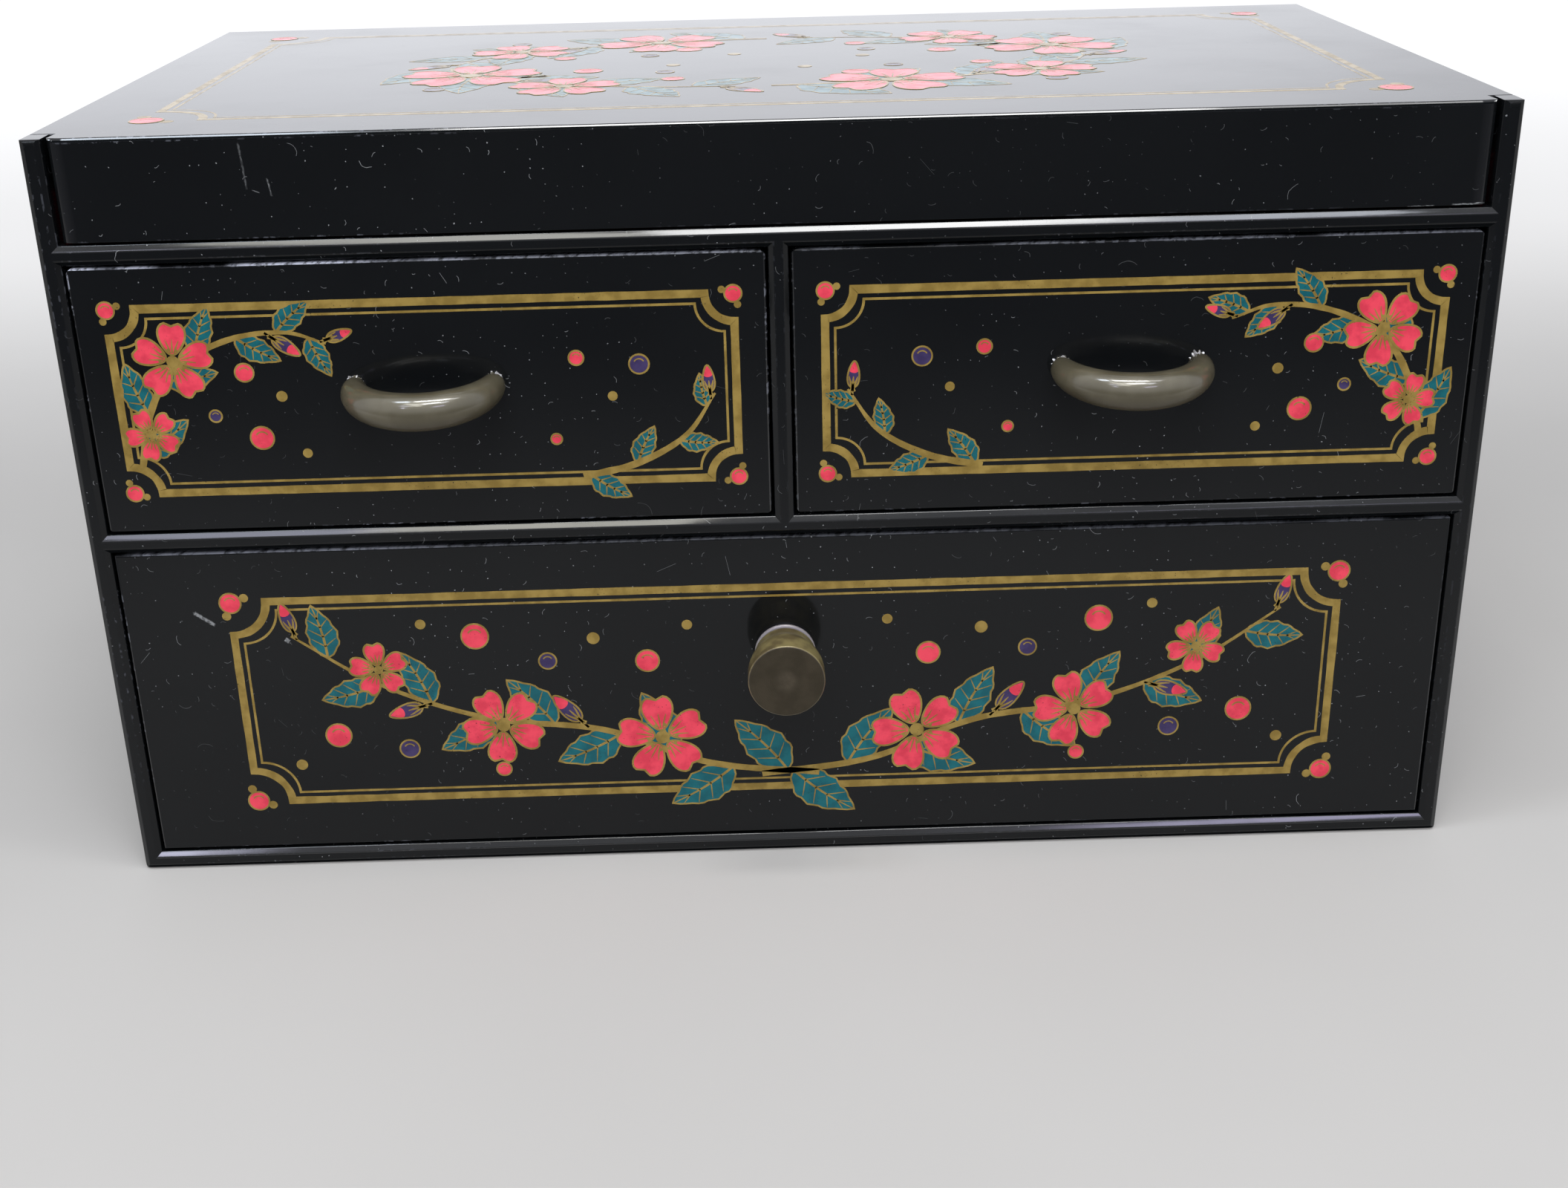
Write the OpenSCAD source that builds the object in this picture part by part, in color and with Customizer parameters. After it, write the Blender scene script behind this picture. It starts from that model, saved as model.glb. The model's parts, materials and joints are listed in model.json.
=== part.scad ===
// Lacquered jewellery box: a case with a lift-up lid, two small drawers and one wide drawer.
// Sizes are in millimetres. The front faces -Y, +Z is up and the base rests on Z = 0.

/* [Case] */
// Overall width of the case
case_w = 230; // [190:1:300]
// Depth of the case, from the front ridge to the back
case_d = 132; // [110:1:180]
// Thickness of the sides, shelves, base and drawer divider
panel_t = 3.2; // [2.6:0.1:4.5]
// Thickness of the back panel
back_t = 3.2; // [2.6:0.1:4.5]
// Depth of the rabbets in the sides that hold the back panel
rabbet_d = 1.6; // [0.8:0.1:2]
// Clear height of the opening for the wide drawer
lower_open_h = 57; // [45:0.5:80]
// Clear height of the openings for the small drawers
upper_open_h = 45; // [36:0.5:70]
// Height from the upper shelf to the top of the lid
crown_h = 16.4; // [15.5:0.1:26]
// Depth of the grooves that hold the shelves and the divider
groove_d = 1; // [0.6:0.1:1.2]
// Radius that eases the lower outer corners of the case
foot_r = 0.8; // [0.3:0.1:1.2]

/* [Front edges] */
// Slope of the two bevels that form the ridge on every front edge, in degrees
edge_slope = 38; // [25:1:50]
// Width of the flat crest between the two bevels
ridge_w = 1.4; // [0.6:0.1:2.2]
// Depth of the pointed mitre joints, behind the bevels
mitre_d = 3; // [2:0.1:5]
// Depth of the upright that stands in front of the lid at each corner
horn_d = 5; // [4:0.1:8]
// How far the fascia and the drawer fronts lie behind the ridge
front_setback = 0.6; // [0:0.1:1]

/* [Lid] */
// Thickness of the top board
lid_t = 3.2; // [2.6:0.1:4]
// Thickness of the front fascia
fascia_t = 3.2; // [2.4:0.1:4.2]
// Thickness of the rear rim
rim_t = 3.2; // [2.8:0.1:4.5]
// Chamfer along the front top edge
lid_chamfer = 0.6; // [0.2:0.1:1]
// Radius of the upright corners at the lid's front
lid_corner_r = 1.1; // [0.3:0.1:1.8]
// Gap under the fascia and the rim, and behind the uprights
lid_gap = 0.4; // [0.3:0.1:0.8]
// Gap at each end of the fascia and the rim
fascia_gap = 0.7; // [0.3:0.1:1]
// Gap between the top board and the sides that it closes on
seat_gap = 0.3; // [0.2:0.1:0.6]
// Gap between the lid's lining board and the sides
lining_side_gap = 1.5; // [0.8:0.1:4]
// Thickness of the lining board under the top board
lid_lining_t = 1.2; // [0.8:0.1:2]

/* [Mirror] */
// Margin from the lining board's edge to the mirror
mirror_margin = 16; // [10:0.5:30]
// Thickness of the mirror
mirror_t = 2; // [1.5:0.1:3]
// Width of the frame strip outside the mirror
frame_w = 5; // [3:0.5:8]
// Width of the frame's lip over the mirror
frame_lip_w = 1.5; // [0.8:0.1:3]
// Thickness of the frame's lip
frame_lip_t = 0.8; // [0.6:0.1:1.2]

/* [Tray] */
// Thickness of the tray's walls and dividers
tray_wall_t = 2.4; // [1.6:0.1:4]
// Space between the tray's walls and the mirror frame above
tray_headroom = 1.2; // [0.8:0.1:3]
// Gap between the tray's walls and the lid's fascia and rim
tray_gap = 0.6; // [0.4:0.1:2]
// Thickness of the lined floor
tray_pad_t = 1.2; // [0.8:0.1:2]
// Width of the bay for rings
ring_bay_w = 72; // [50:1:90]
// Depth of the flat underside cut from each ring roll
roll_flat = 2; // [1:0.1:3]
// How far a ring roll draws in towards its ends
roll_taper = 0.9; // [0.4:0.1:1.5]
// Gap between ring rolls, and at their ends
roll_gap = 0.5; // [0.3:0.1:1.5]

/* [Hinges] */
// Distance from the case side to the middle of each hinge
hinge_inset = 45; // [30:1:70]
// Length of each hinge
hinge_l = 22; // [18:0.5:30]
// Height of each leaf above or below the pin
leaf_h = 9; // [8:0.5:11]
// Thickness of each leaf
leaf_t = 0.8; // [0.6:0.1:1]
// Outer radius of the knuckles
knuckle_r = 1.6; // [1.4:0.1:2.2]
// Gap beside the knuckles, and between them and the case
knuckle_gap = 0.3; // [0.2:0.05:0.4]
// Radius of the hinge pins
pin_r = 0.8; // [0.6:0.05:1]
// Radial running clearance of the hinge pins
pin_clear = 0.04; // [0.02:0.01:0.08]
// Radius of the hinge pins' heads
pin_head_r = 1.2; // [1.1:0.1:1.4]
// Thickness of the hinge pins' heads
pin_head_t = 0.6; // [0.4:0.1:1]
// Shank radius of the hinge screws
screw_r = 0.7; // [0.5:0.05:0.8]
// Head radius of the hinge screws
screw_head_r = 1.4; // [1.2:0.1:1.8]
// Head height of the hinge screws
screw_head_h = 0.6; // [0.4:0.1:1]
// Length of the hinge screws inside the wood
screw_l = 2.3; // [1.8:0.1:2.4]
// Distance from a leaf's ends and outer edge to its screws
screw_inset = 3; // [2.4:0.1:4]

/* [Drawers] */
// Gap between a drawer front and the opening around it
drawer_gap = 0.4; // [0.3:0.05:0.8]
// Thickness of the drawer fronts
front_t = 5; // [4:0.1:8]
// Corner radius of the small drawers' fronts
front_r = 1.3; // [0.5:0.1:3]
// Corner radius of the wide drawer's front
wide_front_r = 0.6; // [0.3:0.1:3]
// Radius that softens the edges round a drawer front's face
front_ease = 0.45; // [0.2:0.05:0.8]
// Thickness of the drawer fronts where they lap over the sides
lap_t = 2; // [1.5:0.1:2.6]
// Thickness of the drawer sides and backs
side_t = 3; // [2.4:0.1:5]
// Height lost from the top of the drawer sides and backs
side_drop = 3; // [0:0.5:8]
// Thickness of the drawer bottoms
bottom_t = 2; // [1.5:0.1:3]
// Height of the drawer bottoms above the lower edge
bottom_rise = 2.5; // [1:0.1:5]
// Depth of the grooves that hold the drawer bottoms
bottom_groove = 1.2; // [0.8:0.1:1.8]
// Free space behind each drawer
rear_gap = 1; // [0.5:0.1:5]
// Thickness of the velvet lining
lining_t = 0.8; // [0.5:0.1:1.5]
// Height of bare wood above the lining
lining_drop = 2; // [0:0.5:8]
// Sideways shift of the pulls and the knob from the middle of their fronts
grip_shift = -0.45; // [-1:0.05:1]

/* [Arch pulls] */
// Spacing of the two legs
pull_span = 22.2; // [18:0.5:40]
// Reach of the bow's centre line from the drawer front
pull_out = 11; // [8.5:0.5:18]
// Drop of the bow's middle below its legs
pull_drop = 1.15; // [0:0.05:5]
// Radius of the bow at its legs
pull_end_r = 1.5; // [1.4:0.1:2]
// Radius of the bow at its middle
pull_mid_r = 3; // [2.2:0.05:3.6]
// Height of the legs above the middle of the drawer front
pull_rise = 1.8; // [-4:0.1:6]
// Radius of the studs that fix the pull
stud_r = 1.1; // [0.8:0.05:1.25]
// Length of the studs that stands out of the nuts
stud_tail = 0.8; // [0.4:0.1:2]
// Corner radius of the nuts
nut_r = 2.4; // [1.8:0.1:3]
// Thickness of the nuts
nut_t = 1.6; // [1.2:0.1:2.4]

/* [Knob] */
// Radius of the knob at the drawer front
knob_base_r = 5.2; // [4:0.1:6]
// Radius of the knob's face
knob_face_r = 6.4; // [5.5:0.1:9]
// Length of the knob
knob_l = 12; // [10.5:0.5:20]
// Length of the straight neck beside the drawer front
knob_neck = 2; // [1.5:0.1:3]
// Length of the straight rim behind the face
knob_rim = 3.2; // [1.5:0.1:4.5]
// Radius of the bead round the knob's foot
knob_bead_r = 0.45; // [0.2:0.05:0.6]
// Radius that rounds the edge of the knob's face
knob_lip_r = 0.4; // [0.2:0.1:0.8]
// Height of the knob above the middle of the drawer front
knob_rise = 7; // [-6:0.1:10]
// Radius of the knob's screw
knob_screw_r = 1.5; // [1:0.1:2]
// Length of the knob's screw inside the knob
knob_screw_l = 6; // [4:0.5:8]
// Head radius of the knob's screw
knob_head_r = 3; // [2.6:0.1:4]
// Head height of the knob's screw
knob_head_h = 1.8; // [1:0.1:2.5]
// Radial clearance of studs and screws in their holes
hole_clear = 0.1; // [0.05:0.05:0.2]

/* [Hidden] */
$fn = 48;

// How far a cutting shape runs past the face that it cuts
cut = 1;

// Finishes
lacquer = [0.10, 0.11, 0.12];
bronze = [0.30, 0.27, 0.20];
brass = [0.72, 0.56, 0.28];
velvet = [0.42, 0.05, 0.09];
silvered = [0.80, 0.84, 0.86];

// Planes of the case
edge_rise = (panel_t - ridge_w) / 2 * tan(edge_slope);
y_front = -case_d / 2;
y_back = case_d / 2;
y_back_in = y_back - back_t;
y_mitre = y_front + edge_rise + mitre_d;
x_in = case_w / 2 - panel_t;
z_middle = panel_t + lower_open_h;
z_upper = z_middle + panel_t + upper_open_h;
z_tray = z_upper + panel_t;
case_h = z_tray + crown_h;

// Planes of the lid
lid_under = case_h - lid_t;
fascia_z = z_tray + lid_gap;
fascia_x = x_in - fascia_gap;
y_face = y_front + front_setback;
y_fascia_in = y_face + fascia_t;
y_rim_in = y_back - rim_t;
y_notch = y_front + horn_d + lid_gap;
lining_x = x_in - lining_side_gap;
mirror_x = lining_x - mirror_margin;
mirror_y = [y_fascia_in + mirror_margin, y_rim_in - mirror_margin];
mirror_top = lid_under - lid_lining_t;
frame_z = mirror_top - mirror_t - frame_lip_t;

// Tray in the top compartment
tray_wall_h = frame_z - tray_headroom - z_tray;
tray_y = [y_fascia_in + tray_gap, y_rim_in - tray_gap];
tray_in_y = [tray_y[0] + tray_wall_t, tray_y[1] - tray_wall_t];
tray_floor = z_tray + tray_pad_t;
tray_top = z_tray + tray_wall_h;
ring_bay_x = [-x_in, -x_in + ring_bay_w];
roll_r = (tray_top - tray_floor + roll_flat) / 2;
roll_count = floor((tray_in_y[1] - tray_in_y[0]) / (2 * roll_r + roll_gap));
roll_pitch = (tray_in_y[1] - tray_in_y[0]) / roll_count;
roll_l = ring_bay_w - 2 * roll_gap;
roll_steps = 12;

// Hinges
hinge_x = case_w / 2 - hinge_inset;
hinge_y = y_back + knuckle_r + knuckle_gap;
hinge_z = z_tray + lid_gap / 2;
knuckle_l = (hinge_l - 2 * knuckle_gap) / 3;
knuckle_step = knuckle_l + knuckle_gap;

// Drawers, each given as [left, right, bottom, top] of its front
left_drawer = drawer_bounds(-x_in, -panel_t / 2, z_middle + panel_t, z_upper);
right_drawer = drawer_bounds(panel_t / 2, x_in, z_middle + panel_t, z_upper);
lower_drawer = drawer_bounds(-x_in, x_in, panel_t, z_middle);
y_front_in = y_face + front_t;
y_rear = y_back_in - rear_gap;

// Fineness of the shaped parts
bow_steps = 30;
bow_sides = 20;
flare_steps = 8;

// Outline of a drawer front inside its opening
function drawer_bounds(x0, x1, z0, z1) = [
    x0 + drawer_gap, x1 - drawer_gap, z0 + drawer_gap, z1 - drawer_gap
];

// Section of a panel with a ridged front edge: u across the panel, v back from the ridge
function ridge_outline(depth) = [
    [-panel_t / 2, depth], [-panel_t / 2, edge_rise], [-ridge_w / 2, 0],
    [ridge_w / 2, 0], [panel_t / 2, edge_rise], [panel_t / 2, depth]
];

// Front view of a bar with a pointed mitre at both ends
function pointed_bar(half_l) = [
    [-half_l, -panel_t / 2], [half_l, -panel_t / 2], [half_l + panel_t / 2, 0],
    [half_l, panel_t / 2], [-half_l, panel_t / 2], [-half_l - panel_t / 2, 0]
];

// Box between pairs of planes
module block(x, y, z) {
    translate([x[0], y[0], z[0]]) cube([x[1] - x[0], y[1] - y[0], z[1] - z[0]]);
}

// Extrude a Y-Z outline along X, evenly about the middle
module along_x(length) {
    rotate([90, 0, 90]) linear_extrude(length, center = true) children();
}

// Extrude an X-Z outline along Y
module along_y(y0, y1) {
    translate([0, y1, 0]) rotate([90, 0, 0]) linear_extrude(y1 - y0) children();
}

// Round bar along +Y from the given point
module rod_y(x, y, z, r, length) {
    translate([x, y, z]) rotate([-90, 0, 0]) cylinder(r = r, h = length);
}

// Section of a board with two rounded front corners: u across the board, v back from its face
module eased_section(width, depth, r) {
    translate([r, 0]) square([width - 2 * r, depth]);
    translate([0, r]) square([width, depth - r]);
    for (u = [r, width - r]) translate([u, r]) circle(r);
}

// Front view of the case, with eased lower corners
module case_outline() {
    translate([-case_w / 2, 0]) eased_section(case_w, case_h + cut, foot_r);
}

// Horizontal panel with a ridged front edge, at the given mid-height
module ridged_shelf(z) {
    translate([0, y_front, z]) along_x(case_w) polygon([for (p = ridge_outline(case_d)) [p[1], p[0]]]);
}

// Upright panel with a ridged front edge, at the given mid-width
module ridged_upright(x) {
    translate([x, y_front, 0]) linear_extrude(case_h) polygon(ridge_outline(case_d));
}

// Room that a shelf takes up: pointed mitres at the front, housed ends behind
module shelf_space(z) {
    along_y(y_front - cut, y_mitre) translate([0, z]) polygon(pointed_bar(x_in));
    block([-x_in - groove_d, x_in + groove_d], [y_mitre, y_back_in], [z - panel_t / 2, z + panel_t / 2]);
}

// Room that the upright divider takes up between the two shelves
module divider_space() {
    along_y(y_front - cut, y_mitre) translate([0, (z_middle + panel_t + z_upper) / 2])
        rotate(90) polygon(pointed_bar(upper_open_h / 2));
    block([-panel_t / 2, panel_t / 2], [y_mitre, y_back_in],
          [z_middle + panel_t - groove_d, z_upper + groove_d]);
}

module case_side() {
    color(lacquer) difference() {
        intersection() {
            ridged_upright(x_in + panel_t / 2);
            along_y(y_front - cut, y_back + cut)
                polygon([[x_in, panel_t], [case_w / 2, 0], [case_w / 2, case_h], [x_in, case_h]]);
            along_y(y_front - cut, y_back + cut) case_outline();
        }
        shelf_space(z_middle + panel_t / 2);
        shelf_space(z_upper + panel_t / 2);
        block([x_in - cut, case_w / 2 + cut], [y_front + horn_d, y_back + cut],
              [lid_under - seat_gap, case_h + cut]);
        block([x_in - cut, x_in + rabbet_d], [y_back_in, y_back + cut], [panel_t, z_tray]);
    }
}

module side_left() {
    mirror([1, 0, 0]) case_side();
}

module side_right() {
    case_side();
}

module back_panel() {
    color(lacquer) difference() {
        block([-x_in - rabbet_d, x_in + rabbet_d], [y_back_in, y_back], [panel_t, z_tray]);
        screw_holes(-1);
    }
}

module base_panel() {
    color(lacquer) intersection() {
        ridged_shelf(panel_t / 2);
        along_y(y_front - cut, y_back)
            polygon([[-case_w / 2, 0], [case_w / 2, 0], [x_in, panel_t], [-x_in, panel_t]]);
        along_y(y_front - cut, y_back + cut) case_outline();
    }
}

module middle_shelf() {
    color(lacquer) shelf(z_middle + panel_t / 2);
}

module upper_shelf() {
    color(lacquer) shelf(z_upper + panel_t / 2);
}

module shelf(z) {
    difference() {
        intersection() {
            ridged_shelf(z);
            shelf_space(z);
        }
        divider_space();
    }
}

module drawer_divider() {
    color(lacquer) intersection() {
        ridged_upright(0);
        divider_space();
    }
}

module tray_lining() {
    color(velvet) block([-x_in, x_in], tray_in_y, [z_tray, tray_floor]);
}

module tray_front_wall() {
    color(velvet) block([-x_in, x_in], [tray_y[0], tray_in_y[0]], [z_tray, tray_top]);
}

module tray_back_wall() {
    color(velvet) block([-x_in, x_in], [tray_in_y[1], tray_y[1]], [z_tray, tray_top]);
}

module ring_divider() {
    color(velvet) block([ring_bay_x[1], ring_bay_x[1] + tray_wall_t], tray_in_y, [tray_floor, tray_top]);
}

module tray_divider() {
    y_mid = (tray_in_y[0] + tray_in_y[1]) / 2;
    color(velvet) block([ring_bay_x[1] + tray_wall_t, x_in],
                        [y_mid - tray_wall_t / 2, y_mid + tray_wall_t / 2], [tray_floor, tray_top]);
}

// Radius of a ring roll at a share s of its length: full in the middle, drawn in at the ends
function roll_radius(s) = roll_r - roll_taper * pow(2 * s - 1, 4);

module ring_rolls() {
    profile = [for (i = [0 : roll_steps]) [roll_radius(i / roll_steps), roll_l * i / roll_steps]];
    color(velvet) intersection() {
        for (i = [0 : roll_count - 1])
            translate([ring_bay_x[0] + roll_gap, tray_in_y[0] + (i + 0.5) * roll_pitch, tray_top - roll_r])
                rotate([0, 90, 0]) rotate_extrude() polygon(concat([[0, 0]], profile, [[0, roll_l]]));
        block(ring_bay_x, tray_in_y, [tray_floor, tray_top + cut]);
    }
}

// Leaf of a hinge about its pin: up is 1 for the lid and -1 for the case
module hinge_leaf(side, up) {
    own = up > 0 ? [0] : [-knuckle_step, knuckle_step];
    other = up > 0 ? [-knuckle_step, knuckle_step] : [0];
    color(brass) difference() {
        translate([side * hinge_x, hinge_y, hinge_z]) difference() {
            union() {
                block([-hinge_l / 2, hinge_l / 2], [y_back - hinge_y, y_back - hinge_y + leaf_t],
                      up > 0 ? [0, leaf_h] : [-leaf_h, 0]);
                for (x = own) knuckle(x, knuckle_r, knuckle_l);
            }
            for (x = other) knuckle(x, knuckle_r + knuckle_gap, knuckle_l + 2 * knuckle_gap);
            knuckle(0, pin_r + pin_clear, hinge_l + 2 * cut);
        }
        screw_holes(up);
    }
}

module knuckle(x, r, length) {
    translate([x, 0, 0]) rotate([0, 90, 0]) cylinder(r = r, h = length, center = true);
}

module hinge_pin(side) {
    color(brass) translate([side * hinge_x, hinge_y, hinge_z]) {
        knuckle(0, pin_r, hinge_l + 2 * pin_head_t);
        for (end = [-1, 1]) knuckle(end * (hinge_l + pin_head_t) / 2, pin_head_r, pin_head_t);
    }
}

// Places of the four hinge screws on the lid (up = 1) or the case (up = -1), as [x, z]
function screw_places(up) = [
    for (side = [-1, 1], end = [-1, 1])
        [side * hinge_x + end * (hinge_l / 2 - screw_inset), hinge_z + up * (leaf_h - screw_inset)]
];

module screw_holes(up) {
    for (p = screw_places(up))
        rod_y(p[0], y_back - screw_l - hole_clear, p[1], screw_r + hole_clear, screw_l + leaf_t + cut);
}

module hinge_screws(up) {
    color(brass) for (p = screw_places(up)) {
        rod_y(p[0], y_back - screw_l, p[1], screw_r, screw_l + leaf_t);
        rod_y(p[0], y_back + leaf_t, p[1], screw_head_r, screw_head_h);
    }
}

// Room for the lid's front between the uprights, with rounded front corners
module lid_front_space() {
    translate([-fascia_x, y_face, 0]) linear_extrude(case_h + cut)
        eased_section(2 * fascia_x, y_notch - y_face + cut, lid_corner_r);
}

module lid_top() {
    color(lacquer) {
        block([-case_w / 2, case_w / 2], [y_notch, y_back], [lid_under, case_h]);
        intersection() {
            along_x(2 * fascia_x) polygon([
                [y_face + lid_chamfer, case_h], [y_face + lid_chamfer / 2, case_h - lid_chamfer / 2],
                [y_fascia_in, lid_under], [y_notch, lid_under], [y_notch, case_h]
            ]);
            lid_front_space();
        }
    }
}

module lid_fascia() {
    color(lacquer) intersection() {
        along_x(2 * fascia_x) polygon([
            [y_face, fascia_z], [y_fascia_in, fascia_z], [y_fascia_in, lid_under],
            [y_face + lid_chamfer / 2, case_h - lid_chamfer / 2], [y_face, case_h - lid_chamfer]
        ]);
        lid_front_space();
    }
}

module lid_rear_rim() {
    color(lacquer) difference() {
        block([-fascia_x, fascia_x], [y_rim_in, y_back], [fascia_z, lid_under]);
        screw_holes(1);
    }
}

module lid_lining() {
    color(velvet) block([-lining_x, lining_x], [y_fascia_in, y_rim_in], [mirror_top, lid_under]);
}

module lid_mirror() {
    color(silvered) block([-mirror_x, mirror_x], mirror_y, [mirror_top - mirror_t, mirror_top]);
}

// Mirror outline, grown outwards by the given amount
module mirror_space(grow, z) {
    block([-mirror_x - grow, mirror_x + grow], [mirror_y[0] - grow, mirror_y[1] + grow], z);
}

module mirror_frame() {
    color(lacquer) difference() {
        mirror_space(frame_w, [frame_z, mirror_top]);
        mirror_space(0, [mirror_top - mirror_t, mirror_top + cut]);
        mirror_space(-frame_lip_w, [frame_z - cut, mirror_top]);
    }
}

// Outline of a drawer front with rounded corners
module rounded_outline(d, r) {
    translate([d[0] + r, d[2]]) square([d[1] - d[0] - 2 * r, d[3] - d[2]]);
    translate([d[0], d[2] + r]) square([d[1] - d[0], d[3] - d[2] - 2 * r]);
    for (x = [d[0] + r, d[1] - r], z = [d[2] + r, d[3] - r]) translate([x, z]) circle(r);
}

// Extents of a drawer's bottom board
function bottom_x(d) = [d[0] + side_t - bottom_groove, d[1] - side_t + bottom_groove];
function bottom_z(d) = [d[2] + bottom_rise, d[2] + bottom_rise + bottom_t];

// Board of a drawer front: rounded corners, and softened edges round its face
module front_board(d, r) {
    w = d[1] - d[0];
    h = d[3] - d[2];
    intersection() {
        along_y(y_face, y_front_in) rounded_outline(d, r);
        translate([d[0], y_face, d[2]]) linear_extrude(h) eased_section(w, front_t, front_ease);
        translate([(d[0] + d[1]) / 2, y_face, d[3]]) along_x(w) rotate(-90)
            eased_section(h, front_t, front_ease);
    }
}

// Drawer front with laps for the sides and a groove for the bottom; its holes are the children
module drawer_front(d, r) {
    color(lacquer) difference() {
        front_board(d, r);
        for (x = [[d[0] - cut, d[0] + side_t], [d[1] - side_t, d[1] + cut]])
            block(x, [y_face + lap_t, y_front_in + cut], [d[2] - cut, d[3] - side_drop]);
        block(bottom_x(d), [y_front_in - bottom_groove, y_front_in + cut], bottom_z(d));
        children();
    }
}

module small_drawer_front(d) {
    drawer_front(d, front_r) stud_holes(d);
}

module wide_drawer_front() {
    drawer_front(lower_drawer, wide_front_r) knob_hole();
}

module drawer_side_left(d) {
    color(lacquer) difference() {
        block([d[0], d[0] + side_t], [y_face + lap_t, y_rear], [d[2], d[3] - side_drop]);
        block([d[0] + side_t - bottom_groove, d[0] + side_t + cut], [y_face, y_rear + cut], bottom_z(d));
    }
}

module drawer_side_right(d) {
    color(lacquer) difference() {
        block([d[1] - side_t, d[1]], [y_face + lap_t, y_rear], [d[2], d[3] - side_drop]);
        block([d[1] - side_t - cut, d[1] - side_t + bottom_groove], [y_face, y_rear + cut], bottom_z(d));
    }
}

module drawer_back(d) {
    color(lacquer)
        block([d[0] + side_t, d[1] - side_t], [y_rear - side_t, y_rear],
              [bottom_z(d)[1], d[3] - side_drop]);
}

module drawer_bottom(d) {
    color(lacquer) block(bottom_x(d), [y_front_in - bottom_groove, y_rear], bottom_z(d));
}

// Velvet over the bottom, the sides and the back
module drawer_lining(d) {
    x = [d[0] + side_t, d[1] - side_t];
    y = [y_front_in, y_rear - side_t];
    z = [bottom_z(d)[1], d[3] - side_drop - lining_drop];
    color(velvet) difference() {
        block(x, y, z);
        block([x[0] + lining_t, x[1] - lining_t], [y[0] - cut, y[1] - lining_t],
              [z[0] + lining_t, z[1] + cut]);
    }
}

// Middle of a drawer's pull or knob on the drawer front, as [x, z]
function grip_place(d, rise) = [(d[0] + d[1]) / 2 + grip_shift, (d[2] + d[3]) / 2 + rise];

// Places of a pull's two legs, as [x, z]
function leg_places(d) = [for (s = [-1, 1]) grip_place(d, pull_rise) + [s * pull_span / 2, 0]];

module stud_holes(d) {
    for (p = leg_places(d)) rod_y(p[0], y_face - cut, p[1], stud_r + hole_clear, front_t + 2 * cut);
}

// Centre line, heading and radius of the bow at an angle from 0 at one leg to 180 at the other
function bow_point(a) = [pull_span / 2 * cos(a), -pull_out * sin(a), -pull_drop * sin(a)];
function bow_heading(a) = [-pull_span / 2 * sin(a), -pull_out * cos(a), -pull_drop * cos(a)];
function bow_radius(a) = pull_end_r + (pull_mid_r - pull_end_r) * sqrt(abs(sin(a)));

function unit(v) = v / norm(v);

// Ring of points round the bow, square to its heading
function bow_ring(a) = let (
    t = unit(bow_heading(a)),
    b = unit(cross(t, [0, 0, 1])),
    n = cross(b, t)
) [for (k = [0 : bow_sides - 1]) let (f = 360 * k / bow_sides)
    bow_point(a) + bow_radius(a) * (cos(f) * b + sin(f) * n)];

// Arched bar that swells from its legs to its middle
module pull_bow() {
    points = [for (i = [0 : bow_steps]) each bow_ring(180 * i / bow_steps)];
    walls = [for (i = [0 : bow_steps - 1], k = [0 : bow_sides - 1]) let (
        p = i * bow_sides + k,
        q = i * bow_sides + (k + 1) % bow_sides
    ) each [[p, q, p + bow_sides], [q, q + bow_sides, p + bow_sides]]];
    first = [for (k = [bow_sides - 1 : -1 : 0]) k];
    last = [for (k = [0 : bow_sides - 1]) bow_steps * bow_sides + k];
    polyhedron(points, concat(walls, [first, last]));
}

module pull(d) {
    middle = grip_place(d, pull_rise);
    color(bronze) {
        translate([middle[0], y_face, middle[1]]) pull_bow();
        for (p = leg_places(d))
            rod_y(p[0], y_face - stud_r, p[1], stud_r, stud_r + front_t + nut_t + stud_tail);
    }
}

module pull_nuts(d) {
    color(brass) for (p = leg_places(d)) difference() {
        translate([p[0], y_front_in, p[1]]) rotate([-90, 0, 0]) cylinder(r = nut_r, h = nut_t, $fn = 6);
        rod_y(p[0], y_front_in - cut, p[1], stud_r + hole_clear, nut_t + 2 * cut);
    }
}

module knob_hole() {
    p = grip_place(lower_drawer, knob_rise);
    rod_y(p[0], y_face - cut, p[1], knob_screw_r + hole_clear, front_t + 2 * cut);
}

// Radius of the knob's flare at a share s of its length
function flare_radius(s) = knob_base_r + (knob_face_r - knob_base_r) * (1 - cos(180 * s)) / 2;

module knob() {
    p = grip_place(lower_drawer, knob_rise);
    flare_l = knob_l - knob_neck - knob_rim;
    flare = [for (i = [0 : flare_steps]) let (s = i / flare_steps)
        [flare_radius(s), knob_neck + flare_l * s]];
    foot_x = knob_base_r - knob_bead_r;
    lip_x = knob_face_r - knob_lip_r;
    color(bronze) difference() {
        translate([p[0], y_face, p[1]]) rotate([90, 0, 0]) rotate_extrude() {
            polygon(concat(
                [[0, 0], [foot_x, 0], [foot_x, 2 * knob_bead_r]], flare,
                [[knob_face_r, knob_l - knob_lip_r], [lip_x, knob_l], [0, knob_l]]
            ));
            translate([foot_x, knob_bead_r]) circle(knob_bead_r);
            translate([lip_x, knob_l - knob_lip_r]) circle(knob_lip_r);
        }
        rod_y(p[0], y_face - knob_screw_l - hole_clear, p[1], knob_screw_r + hole_clear,
              knob_screw_l + hole_clear + cut);
    }
}

module knob_screw() {
    p = grip_place(lower_drawer, knob_rise);
    color(brass) {
        rod_y(p[0], y_face - knob_screw_l, p[1], knob_screw_r, knob_screw_l + front_t);
        rod_y(p[0], y_front_in, p[1], knob_head_r, knob_head_h);
    }
}

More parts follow.
